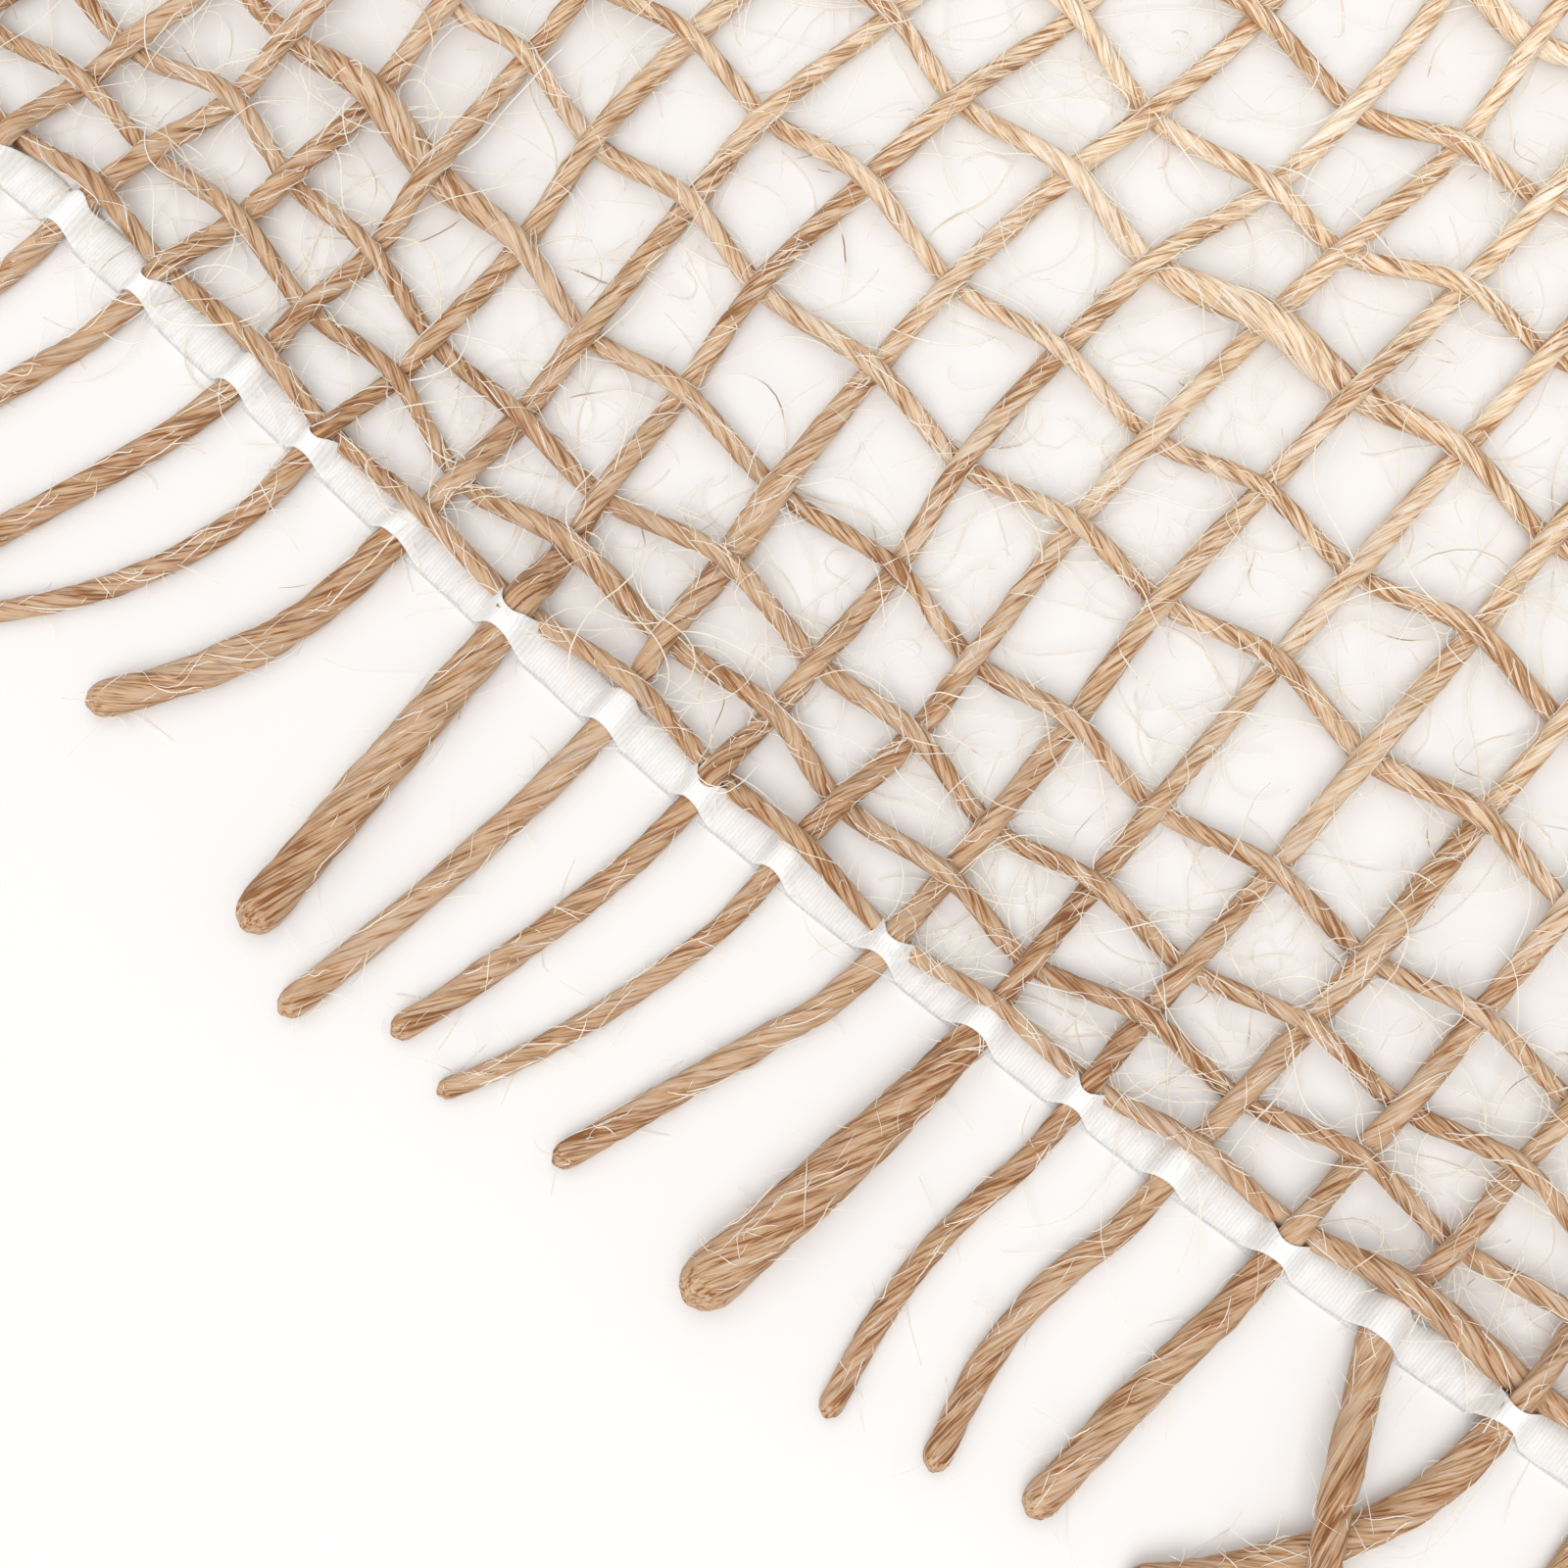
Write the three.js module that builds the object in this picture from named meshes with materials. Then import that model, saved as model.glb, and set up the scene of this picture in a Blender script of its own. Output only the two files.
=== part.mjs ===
// Table runner: an open net of thick, softly twisted jute yarns in plain weave. Each end has a
// narrow white overlocked hem, and past the hem the warp yarns hang free as a fringe.
//
// Millimetres. X runs across the runner, Y along it and Z up from the table. The origin is the
// middle of the runner's footprint, on the table.
//
// The yarns are kept as plain flat layers here: the warp yarns lie on the table, the weft yarn lies
// on them, and a small gap stands in for the squeeze where they touch.

import * as THREE from 'three';

// ---------------------------------------------------------------- driving dimensions

// The whole runner, over the weft's turns and over the longest fringe ends.
const RUNNER_WIDTH = 356;
const RUNNER_LENGTH = 1829;

// The warp: separate yarns from fringe tip to fringe tip.
const WARP_DIAMETER = 2.0;
const WARP_PITCH = 10.36;

// The weft: one yarn that runs to and fro and turns back round each edge.
const WEFT_DIAMETER = 2.0;
const WEFT_PITCH = 12.8;
const SELVEDGE_REACH = 7.0; // least distance from the outermost warp yarn's axis to the edge
const TURN_START = 0.5; // how far past the outermost warp yarn's axis the weft starts to turn

// The weft rows beside each hem are beaten closer together: the gaps between them, from the hem in.
const HEM_ROW_PITCH = 6.6;
const HEM_ROW_GAPS = 2;
const EASING_PITCH = 9.6; // the one gap between those rows and the even ones

// The hem: white thread overlocked across the warp yarns, just outside the last weft row.
const HEM_WIDTH = 3.6;
const HEM_THICKNESS = 0.7;

// The fringe, from the hem's outer edge to the longest tip.
const FRINGE_LENGTH = 34.7;

const CLEARANCE = 0.3; // gap that stands in for contact between two pieces

// ---------------------------------------------------------------- how the loose ends lie

// The warp yarns near the middle of the front end, from left to right. Each row holds the tip's
// sideways lean in warp pitches, its reach past the hem as a share of the longest, and how late the
// yarn bends: 1 is a straight lean and 2 is a bend that starts halfway.
const FRONT_ENDS = [
  [-0.3, 0.84, 1.3],
  [-0.53, 0.81, 1.3],
  [-0.82, 0.82, 1.2],
  [-0.89, 0.84, 1.2],
  [-1.35, 0.86, 2.2],
  [-0.97, 0.77, 1.6],
  [0.07, 0.92, 1.5],
  [-0.42, 1.0, 1.5],
  [-0.59, 0.86, 1.5],
  [-0.87, 0.89, 2.2],
  [-0.91, 0.84, 1.4],
  [-0.38, 0.89, 1.3],
  [0.04, 0.89, 1.6],
  [0.01, 0.84, 1.5],
  [-0.23, 0.79, 1.5],
  [1.45, 0.79, 1.0],
  [-1.45, 0.81, 1.9],
  [0.2, 0.85, 1.5],
];
const FRONT_ENDS_START = 8; // the first of those yarns, counted from 0 at the left edge
const LIFTED_END = 15; // the one in that list that lies over the next yarn

// The other ends follow a wave with these limits.
const LEAN = 0.4; // in warp pitches
const UNEVEN = 0.2; // how much shorter than the longest, as a share of it
const LATE_BEND = 1.5;

// ---------------------------------------------------------------- materials

const jute = new THREE.MeshStandardMaterial({ color: 0xc89d6c, roughness: 0.86, metalness: 0 });
const whiteThread = new THREE.MeshStandardMaterial({ color: 0xf4f3f1, roughness: 0.8, metalness: 0 });

// ---------------------------------------------------------------- worked-out sizes

const netHalfLength = RUNNER_LENGTH / 2 - FRINGE_LENGTH; // to the hem's outer edge
const warpGaps = Math.floor((RUNNER_WIDTH - 2 * SELVEDGE_REACH) / WARP_PITCH);
const warpCount = warpGaps + 1;
const warpSpan = warpGaps * WARP_PITCH;
const warpAxisZ = WARP_DIAMETER / 2;
const weftAxisZ = WARP_DIAMETER + CLEARANCE + WEFT_DIAMETER / 2;

function warpX(index) {
  return index * WARP_PITCH - warpSpan / 2;
}

// Weft rows from the front to the back. The close rows are set out from each hem, and the stretch
// between them is shared out evenly.
function weftRows() {
  const last = netHalfLength - HEM_WIDTH - CLEARANCE - WEFT_DIAMETER / 2;
  const evenHalf = last - HEM_ROW_GAPS * HEM_ROW_PITCH - EASING_PITCH;
  const evenGaps = Math.round((2 * evenHalf) / WEFT_PITCH);
  const closeRows = [];
  for (let k = 0; k <= HEM_ROW_GAPS; k += 1) {
    closeRows.push(last - k * HEM_ROW_PITCH);
  }
  const evenRows = [];
  for (let k = 0; k <= evenGaps; k += 1) {
    evenRows.push(-evenHalf + (2 * evenHalf * k) / evenGaps);
  }
  return [...closeRows.map((y) => -y), ...evenRows, ...closeRows.reverse()];
}

// ---------------------------------------------------------------- yarns

// A path of straight pieces between listed points, with an even step at every point, so that a
// section swept along it turns just there.
class PointPath extends THREE.Curve {
  constructor(points) {
    super();
    this.points = points;
  }

  getPoint(t, target = new THREE.Vector3()) {
    const place = t * (this.points.length - 1);
    const index = Math.min(Math.floor(place), this.points.length - 2);
    return target.lerpVectors(this.points[index], this.points[index + 1], place - index);
  }

  // The direction at a point is halfway between those of the pieces that meet there.
  getTangent(t, target = new THREE.Vector3()) {
    const index = Math.round(t * (this.points.length - 1));
    const here = this.points[index];
    const before = this.points[Math.max(index - 1, 0)];
    const after = this.points[Math.min(index + 1, this.points.length - 1)];
    target.set(0, 0, 0);
    if (index > 0) {
      target.add(here.clone().sub(before).normalize());
    }
    if (index < this.points.length - 1) {
      target.add(after.clone().sub(here).normalize());
    }
    return target.normalize();
  }

  getUtoTmapping(u) {
    return u;
  }
}

// A six-sided section with a flat side up and a flat side down, as far apart as the diameter.
function yarnSection(diameter) {
  const sides = 6;
  const cornerRadius = diameter / 2 / Math.cos(Math.PI / sides);
  const shape = new THREE.Shape();
  for (let k = 0; k < sides; k += 1) {
    const angle = ((k + 0.5) * 2 * Math.PI) / sides;
    const x = cornerRadius * Math.cos(angle);
    const y = cornerRadius * Math.sin(angle);
    if (k === 0) {
      shape.moveTo(x, y);
    } else {
      shape.lineTo(x, y);
    }
  }
  shape.closePath();
  return shape;
}

function yarnMesh(name, points, diameter, material) {
  const geometry = new THREE.ExtrudeGeometry(yarnSection(diameter), {
    steps: points.length - 1,
    extrudePath: new PointPath(points),
  });
  const mesh = new THREE.Mesh(geometry, material);
  mesh.name = name;
  return mesh;
}

// How one loose end lies: side is -1 at the front end and 1 at the back end.
function looseEnd(index, side) {
  const listed = index - FRONT_ENDS_START;
  if (side < 0 && listed >= 0 && listed < FRONT_ENDS.length) {
    const [lean, reach, bend] = FRONT_ENDS[listed];
    const lift = listed === LIFTED_END ? WARP_DIAMETER + 1.5 * CLEARANCE : 0;
    return { lean, reach, bend, lift };
  }
  const turn = (index - warpGaps) * 2.4;
  const lean = LEAN * Math.sin(turn * 0.7 + side);
  const reach = 1 - (UNEVEN * (1 - Math.cos(turn))) / 2;
  return { lean, reach, bend: LATE_BEND, lift: 0 };
}

// The points of a loose end, from the hem to the tip. The tip stays inside the runner's edges.
function looseEndPoints(index, side) {
  const steps = 6;
  const { lean, reach, bend, lift } = looseEnd(index, side);
  const room = RUNNER_WIDTH / 2 - WARP_DIAMETER;
  const rootX = warpX(index);
  const tipX = Math.max(-room, Math.min(room, rootX + lean * WARP_PITCH));
  const points = [];
  for (let k = 1; k <= steps; k += 1) {
    const share = k / steps;
    const x = rootX + (tipX - rootX) * share ** bend;
    const y = side * (netHalfLength + FRINGE_LENGTH * reach * share);
    const z = warpAxisZ + lift * THREE.MathUtils.smoothstep(share, 0, 0.4);
    points.push(new THREE.Vector3(x, y, z));
  }
  return points;
}

function warpYarn(index) {
  const x = warpX(index);
  const points = [
    ...looseEndPoints(index, -1).reverse(),
    new THREE.Vector3(x, -netHalfLength, warpAxisZ),
    new THREE.Vector3(x, netHalfLength, warpAxisZ),
    ...looseEndPoints(index, 1),
  ];
  const name = `warp_yarn_${String(index + 1).padStart(2, '0')}`;
  return yarnMesh(name, points, WARP_DIAMETER, jute);
}

// The weft goes across in every row and round a flattened half turn at alternate edges.
function weftYarn() {
  const rows = weftRows();
  const turnX = warpSpan / 2 + TURN_START;
  const turnReach = RUNNER_WIDTH / 2 - turnX - WEFT_DIAMETER / 2;
  const points = [new THREE.Vector3(-turnX, rows[0], weftAxisZ)];
  rows.forEach((y, row) => {
    const side = row % 2 === 0 ? 1 : -1;
    points.push(new THREE.Vector3(side * turnX, y, weftAxisZ));
    if (row === rows.length - 1) {
      return;
    }
    const gap = rows[row + 1] - y;
    points.push(new THREE.Vector3(side * (turnX + turnReach), y + gap * 0.3, weftAxisZ));
    points.push(new THREE.Vector3(side * (turnX + turnReach), y + gap * 0.7, weftAxisZ));
    points.push(new THREE.Vector3(side * turnX, y + gap, weftAxisZ));
  });
  return yarnMesh('weft_yarn', points, WEFT_DIAMETER, jute);
}

// ---------------------------------------------------------------- hems

// One hem's outline seen along the warp: a thin strip on the table that humps over every warp yarn.
function hemOutline() {
  const yarnHalf = WARP_DIAMETER / 2 / Math.cos(Math.PI / 6) + CLEARANCE;
  const yarnTop = WARP_DIAMETER + CLEARANCE;
  const edge = warpSpan / 2 + yarnHalf + 2 * HEM_THICKNESS;
  const under = [new THREE.Vector2(-edge, 0)];
  const over = [new THREE.Vector2(-edge, HEM_THICKNESS)];
  for (let index = 0; index < warpCount; index += 1) {
    const x = warpX(index);
    under.push(new THREE.Vector2(x - yarnHalf, 0));
    under.push(new THREE.Vector2(x - yarnHalf, yarnTop));
    under.push(new THREE.Vector2(x + yarnHalf, yarnTop));
    under.push(new THREE.Vector2(x + yarnHalf, 0));
    const wide = yarnHalf + HEM_THICKNESS;
    over.push(new THREE.Vector2(x - wide, HEM_THICKNESS));
    over.push(new THREE.Vector2(x - wide, yarnTop + HEM_THICKNESS));
    over.push(new THREE.Vector2(x + wide, yarnTop + HEM_THICKNESS));
    over.push(new THREE.Vector2(x + wide, HEM_THICKNESS));
  }
  under.push(new THREE.Vector2(edge, 0));
  over.push(new THREE.Vector2(edge, HEM_THICKNESS));
  return new THREE.Shape([...under, ...over.reverse()]);
}

// The outline is drawn upright in XY and swept HEM_WIDTH along Z, then tipped so that it stands on
// the table and runs along Y.
function hemStitching(name, side) {
  const geometry = new THREE.ExtrudeGeometry(hemOutline(), {
    depth: HEM_WIDTH,
    bevelEnabled: false,
    steps: 1,
  });
  const mesh = new THREE.Mesh(geometry, whiteThread);
  mesh.name = name;
  mesh.rotation.x = Math.PI / 2;
  mesh.position.y = side < 0 ? -netHalfLength + HEM_WIDTH : netHalfLength;
  return mesh;
}

// ---------------------------------------------------------------- the runner

const warp = new THREE.Group();
for (let index = 0; index < warpCount; index += 1) {
  warp.add(warpYarn(index));
}

const hems = new THREE.Group();
hems.add(hemStitching('hem_stitching_front', -1));
hems.add(hemStitching('hem_stitching_back', 1));

const runner = new THREE.Group();
runner.add(warp);
runner.add(weftYarn());
runner.add(hems);

export default runner;
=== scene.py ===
# %% [markdown]
# # A jute net table runner
#
# The runner is an open plain weave of thick, softly twisted jute yarns. The warp yarns run along it
# and end in a fringe, one long weft yarn goes to and fro across it, and a narrow band of white
# overlock stitching stops each end from fraying.
#
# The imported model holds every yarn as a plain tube, in two flat layers. This script reads the places
# of those tubes, and builds the real weave in the same space: yarns that pass over and under each
# other, with their twist, their slubs and their loose fibres.

# %% The frame
import math

import bpy
import numpy as np
from mathutils import Matrix, Vector


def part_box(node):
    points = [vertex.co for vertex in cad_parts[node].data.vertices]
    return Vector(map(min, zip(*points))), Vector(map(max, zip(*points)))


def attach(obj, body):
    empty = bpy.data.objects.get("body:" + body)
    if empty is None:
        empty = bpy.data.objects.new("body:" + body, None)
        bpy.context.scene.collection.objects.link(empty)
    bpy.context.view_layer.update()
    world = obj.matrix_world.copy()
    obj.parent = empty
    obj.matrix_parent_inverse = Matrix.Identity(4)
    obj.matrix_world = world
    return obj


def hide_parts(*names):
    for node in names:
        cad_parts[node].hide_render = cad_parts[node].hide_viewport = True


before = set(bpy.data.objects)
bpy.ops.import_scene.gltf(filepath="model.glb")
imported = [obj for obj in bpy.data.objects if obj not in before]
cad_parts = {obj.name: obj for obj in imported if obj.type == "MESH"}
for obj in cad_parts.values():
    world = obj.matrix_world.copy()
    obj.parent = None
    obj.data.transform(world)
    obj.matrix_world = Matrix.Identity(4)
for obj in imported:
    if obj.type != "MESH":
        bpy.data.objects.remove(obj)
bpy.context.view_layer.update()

MM = 0.001
rng = np.random.default_rng(20)

# %% [markdown]
# ## Where the yarns lie
#
# A packed yarn is a tube with a ring of corners at every bend, so the middle of each ring is a point
# of the yarn's own line. Reading these keeps every place in one source: if the weave is set wider in
# the CAD model, the yarns here follow. All working sizes below are in millimetres.


# %% Reading the yarn lines
def corners_of(node):
    """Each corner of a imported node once, in mm."""
    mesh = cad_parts[node].data
    flat = np.empty(len(mesh.vertices) * 3)
    mesh.vertices.foreach_get("co", flat)
    return np.unique(np.round(flat.reshape(-1, 3) / MM, 3), axis=0)


def ring_middles(points, gap=2.0):
    """The middle of each group of points that lie close together along Y."""
    points = points[np.argsort(points[:, 1])]
    breaks = np.flatnonzero(np.diff(points[:, 1]) > gap) + 1
    return np.array([group.mean(axis=0) for group in np.split(points, breaks)])


warp_names = sorted(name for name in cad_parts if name.startswith("warp_yarn"))
warp_lines = [ring_middles(corners_of(name)) for name in warp_names]
front_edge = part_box("hem_stitching_front")[0].y / MM  # the outer edge of each hem
back_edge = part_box("hem_stitching_back")[1].y / MM

weft_corners = corners_of("weft_yarn")
half_width = weft_corners[:, 0].max()
TURN_ROOM = 4.0  # mm inside the edge where the weft's turns are, which would spoil the rows' middles
left_corners = weft_corners[(weft_corners[:, 0] < 0) & (weft_corners[:, 0] > TURN_ROOM - half_width)]
row_y = ring_middles(left_corners)[:, 1]

ENDS = 6  # rings on a loose end, past the hem
warp_x = np.array([line[ENDS][0] for line in warp_lines])
warp_count, row_count = len(warp_x), len(row_y)
row_pitch = np.median(np.diff(row_y))
print(warp_count, "warp yarns", round(np.diff(warp_x).mean(), 2), "mm apart")
print(row_count, "weft rows", round(row_pitch, 2), "mm apart")

# %% [markdown]
# ## How thick each yarn is
#
# Jute is spun from long coarse fibres, so a yarn is never even: it swells and thins by a tenth, and
# every so often it carries a slub, a thick soft place where extra fibre went in. The slubs that stand
# out are listed one by one, near the front end where one looks closely, and each loose end has its own
# widths and its own bend. These are short lists, because no rule gives what one spinner's hand did.

# %% Slubs and loose ends
WARP_RADIUS, WEFT_RADIUS = 0.98, 0.96  # mm, where a yarn is plain
DRAWN_WEFT = 0.85  # the weft by the front end is drawn thinner, to this share of its plain radius
DRAWN_ROWS, EASING_ROWS = 8, 12  # over so many rows, and back to plain over so many more

# Slubs by yarn: place along the yarn (X for a weft row, distance from the hem for a warp yarn),
# half length and extra thickness as a share.
WEFT_SLUBS = {
    0: [(71.0, 13.0, 0.55)],
    1: [(-22.0, 9.0, 0.30)],
    3: [(-62.0, 15.0, 0.75)],
    4: [(40.0, 10.0, 0.35)],
    6: [(10.0, 16.0, 0.9)],
}
WARP_SLUBS = {
    14: [(4.0, 7.0, 0.70)],
    15: [(22.0, 9.0, 0.30)],
    16: [(1.0, 6.0, 0.45)],
    21: [(34.0, 10.0, 0.25)],
}
# The loose ends at the front, from yarn FIRST_END on: width at the hem and at the tip, in mm, and how
# far each one has slid sideways in the hem.
FIRST_END = 9
END_SLIDES = [-1.5, -2, -0.5, -2, -1.5, 0.5, 2, 1.5, 0, 1, 0.5, 0, -1, -1, -1.5, 0]
END_WIDTHS = [
    (2.1, 1.9), (2.2, 2.2), (2.4, 2.4), (2.2, 1.8), (3.0, 3.1), (3.0, 3.9), (2.4, 2.6), (2.1, 2.2),
    (1.9, 1.8), (2.4, 2.3), (2.9, 4.7), (2.0, 2.0), (2.2, 2.4), (2.7, 3.0), (3.0, 2.7), (2.9, 3.3),
]
# How far the middle of some ends bends to the left, in mm.
END_BENDS = {13: -1.0, 17: 0.6, 18: 0.8, 20: 1.7, 21: 2.2, 22: 0.5, 23: 1.6}
print(len(WEFT_SLUBS) + len(WARP_SLUBS), "slubs and", len(END_WIDTHS), "loose ends placed by hand")

# %% [markdown]
# Everywhere else the thickness comes from a rule. The swelling is a sum of three slow waves with random
# phases for each yarn, so it never repeats to the eye, and smaller slubs are scattered along the yarn.
# A noise texture could do this in the material, but then the yarn's outline would stay even.

# %% Thickness along a yarn
SWELL = 0.08  # how much the waves change the radius, as a share
WAVE_LENGTHS = (5.3, 11.0, 23.0)  # mm for each radian of the three waves
SCATTER_EVERY = 170.0  # mm of yarn to each scattered slub


def slow_waves(phases, place):
    """A smooth wave between about -1 and 1 that repeats only after metres of yarn."""
    return sum(np.sin(place / length + phase) for length, phase in zip(WAVE_LENGTHS, phases)) / 1.9


def scattered_slubs(length):
    """Small slubs at random places along a length of yarn: place, half length, extra thickness."""
    count = rng.poisson(length / SCATTER_EVERY)
    places = rng.uniform(0, length, count)
    return list(zip(places, rng.uniform(5, 14, count), rng.uniform(0.12, 0.5, count)))


def radius_along(place, plain, phases, slubs):
    """A yarn's radius at each place, from its plain radius, its waves and its slubs."""
    radius = plain * (1 + SWELL * slow_waves(phases, place))
    for middle, half, extra in slubs:
        radius = radius * (1 + extra * np.exp(-(((place - middle) / half) ** 2) * 1.4))
    return radius


def weft_plain(j):
    """The weft's radius in row j before its swellings: drawn thin by the front end, plain elsewhere."""
    return WEFT_RADIUS * (DRAWN_WEFT + (1 - DRAWN_WEFT) * min(max((j - DRAWN_ROWS) / EASING_ROWS, 0), 1))


warp_phases = rng.uniform(0, 7, (warp_count, 3))
weft_phases = rng.uniform(0, 7, (row_count, 3))
PLACED_REACH, PLACED_ROWS = 140, 9  # no scattered slubs where they are listed
warp_slubs = []
for i in range(warp_count):
    near = [(front_edge + place, half, extra) for place, half, extra in WARP_SLUBS.get(i, [])]
    far = [(front_edge + PLACED_REACH + place, half, extra) for place, half, extra in scattered_slubs(1500)]
    warp_slubs.append(near + far)
weft_slubs = []
for j in range(row_count):
    far = [(place - half_width, half, extra) for place, half, extra in scattered_slubs(2 * half_width)]
    weft_slubs.append(WEFT_SLUBS.get(j, [] if j < PLACED_ROWS else far))
warp_radius = np.empty((warp_count, row_count))
weft_radius = np.empty((warp_count, row_count))
for i in range(warp_count):
    warp_radius[i] = radius_along(row_y, WARP_RADIUS, warp_phases[i], warp_slubs[i])
for j in range(row_count):
    weft_radius[:, j] = radius_along(warp_x, weft_plain(j), weft_phases[j], weft_slubs[j])
print("yarn radius at crossings:", round(warp_radius.min(), 2), "to", round(weft_radius.max(), 2), "mm")

# %% [markdown]
# ## Where the yarns cross
#
# An open net this loose never keeps a true grid: every crossing slides a little, the ends bow, and the
# cloth lies in low swells on the table. So the crossings are moved first, by smooth random amounts,
# and the yarns are drawn through them afterwards. At a crossing the two yarns take turns to be on top,
# and their middles are almost two radii apart, because soft yarn flattens where it is pressed.

# %% Slides and the bow
SLIDE = 0.372  # mm that a crossing strays on its own
DRIFT_X, DRIFT_Y = 0.825, 0.715  # mm that neighbouring crossings stray together
ZIGZAG = 0.6  # mm that a row leans one way where it is on top, and the other way where it is under
BOW = 5.0  # mm that the end's edge curves in and out
BOW_WAVE, BOW_MIDDLE = 260.0, 10.0  # mm between places that aren't moved, and the X of one of them
BOW_FADE = 28.0  # mm into the net over which the bow dies away


def smooth_noise(shape, axis, passes=3):
    """Random numbers that change slowly along one axis of a grid."""
    noise = rng.normal(size=shape)
    for _ in range(passes):
        ahead, behind = np.roll(noise, 1, axis), np.roll(noise, -1, axis)
        noise = (noise * 2 + ahead + behind) / 4
    return noise / noise.std()


def end_bow(x, y):
    """How far along Y a point moves because the two ends aren't quite straight."""
    wave = (1 - np.cos((x - BOW_MIDDLE) * 2 * math.pi / BOW_WAVE)) / 2
    front = np.exp(-np.maximum(y - front_edge, 0) / BOW_FADE)
    back = np.exp(-np.maximum(back_edge - y, 0) / BOW_FADE)
    return BOW * wave * (front - back)


print("the front end bows by", round(float(np.ptp(end_bow(warp_x, front_edge))), 1), "mm")

# %% [markdown]
# Random slides alone would make the whole net equally uneven. A real one also has a few places where it
# was drawn out of true as it was handled, and it touches the table only here and there. The first are a
# short list, and the second is a sum of three long waves with their lower parts cut off.

# %% Pulls and swells
SWELL_HEIGHT = 3.2  # mm, the height of a usual swell of the cloth
SWELL_FADE = 45.0  # mm from each end where the cloth lies flat

# Places near the front end where the net has been drawn out of true: X, distance from the hem, how far
# it was drawn along X and along Y, and how far round about that is felt. All in mm.
PULLS = [
    (-85, 22, 3.0, 0.0, 22), (-38, 46, -3.5, 0.0, 22), (-5, 92, 5.0, 0.0, 24), (2, 20, 2.0, 0.0, 14),
    (18, 12, 0.0, -2.2, 25), (-76, 26, 0.0, 2.6, 20), (-34, 14, 0.0, -2.4, 12), (-9, 88, 0.0, -5.0, 26),
    (-8, 50, 0.0, -1.6, 15), (-60, 3, -1.2, -1.0, 14), (28, 90, 0.0, 2.5, 14),
]


def pulled(x, y):
    """How far the hand-placed pulls move a point along X and along Y."""
    along_x, along_y = np.zeros_like(x), np.zeros_like(x)
    for middle_x, from_hem, pull_x, pull_y, reach in PULLS:
        felt = np.exp(-((x - middle_x) ** 2 + (y - front_edge - from_hem) ** 2) / reach**2)
        along_x += pull_x * felt
        along_y += pull_y * felt
    return along_x, along_y


def table_swell(x, y):
    """The height of the cloth's underside over the table: low swells, none at the ends."""
    rise = np.sin(x / 31 + y / 57 + 0.6) + 0.7 * np.sin(x / 47 - y / 39 + 2.1) + 0.5 * np.sin(y / 83 + 4)
    from_ends = np.minimum(y - front_edge, back_edge - y)
    fade = np.clip(from_ends / SWELL_FADE, 0, 1)
    return SWELL_HEIGHT * np.maximum(rise * 0.55 + 0.15, 0) * fade * fade * (3 - 2 * fade)


swells = [table_swell(0.0, y) for y in row_y]
print(len(PULLS), "pulls, and swells up to", round(float(max(swells)), 1), "mm high down the middle")

# %% [markdown]
# With these, every crossing gets its place. A grid holds one number for each warp yarn and weft row. In
# plain weave the yarn on top changes like the squares of a chessboard, and beside a hem the stitches
# hold both yarns where they are.

# %% The crossings
HEM_BASE = 0.5  # mm, the thickness of the stitching under the yarns
HELD_REACH = 14  # mm from a hem over which it keeps the crossings from straying
SQUEEZE = 0.88  # a pressed yarn's thickness as a share of its width when free

grid_x, grid_y = np.meshgrid(warp_x, row_y, indexing="ij")
size = grid_x.shape
over = np.where(np.add.outer(np.arange(warp_count), np.arange(row_count)) % 2 == 0, 1.0, -1.0)
pull_x, pull_y = pulled(grid_x, grid_y)
# The pulls already set the shape of the front end, so the random drift is weaker there.
freedom = 1 - 0.65 * np.exp(-(((grid_y - front_edge) / 110) ** 4)) * np.exp(-((grid_x / 120) ** 4))
stray_x = DRIFT_X * smooth_noise(size, 1) + SLIDE * rng.normal(size=size)
cross_x = grid_x + pull_x + freedom * stray_x
end_slide = np.zeros(warp_count)
end_slide[FIRST_END : FIRST_END + len(END_SLIDES)] = END_SLIDES
hem_x = warp_x + end_slide
for edge, held_x in ((front_edge, hem_x), (back_edge, warp_x)):
    held = np.exp(-(((grid_y - edge) / HELD_REACH) ** 2))
    cross_x = cross_x * (1 - held) + held_x[:, None] * held
stray_y = DRIFT_Y * smooth_noise(size, 0) + SLIDE * rng.normal(size=size)
cross_y = grid_y + end_bow(grid_x, grid_y) + pull_y + freedom * stray_y - ZIGZAG * over
# Next to a hem the rows stay in order, because the stitches hold them.
for hem_row, inward in ((0, 1), (row_count - 1, -1)):
    held_y = row_y[hem_row] + end_bow(warp_x, row_y[hem_row]) + 0.8 * pull_y[:, hem_row] - 0.4 * inward
    stray = 0.35 * smooth_noise((warp_count, 1), 0)[:, 0]
    cross_y[:, hem_row] = held_y + stray - 0.5 * ZIGZAG * over[:, hem_row]
lower_radius = np.where(over > 0, weft_radius, warp_radius)
apart = SQUEEZE * (warp_radius + weft_radius)
middle = table_swell(cross_x, cross_y) + SQUEEZE * lower_radius + apart / 2 + 0.05
middle[:, [0, -1]] += HEM_BASE  # these rows lie on the inner edge of the hem
warp_z = middle + over * apart / 2
weft_z = middle - over * apart / 2
print("highest crossing", round(float(max(warp_z.max(), weft_z.max())), 2), "mm over the table")

# %% [markdown]
# ## From points to a twisted yarn
#
# A yarn could be a curve with a round bevel, but then it would be as smooth as a wire. Here each yarn
# is swept by hand: a smooth line is drawn through its points, and at every step a ring is placed across
# it. The ring has soft lobes, the bundles of fibre that the spinner twisted together, and each ring is
# turned a little further than the last, so the lobes wind round the yarn. The line comes first.

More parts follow.
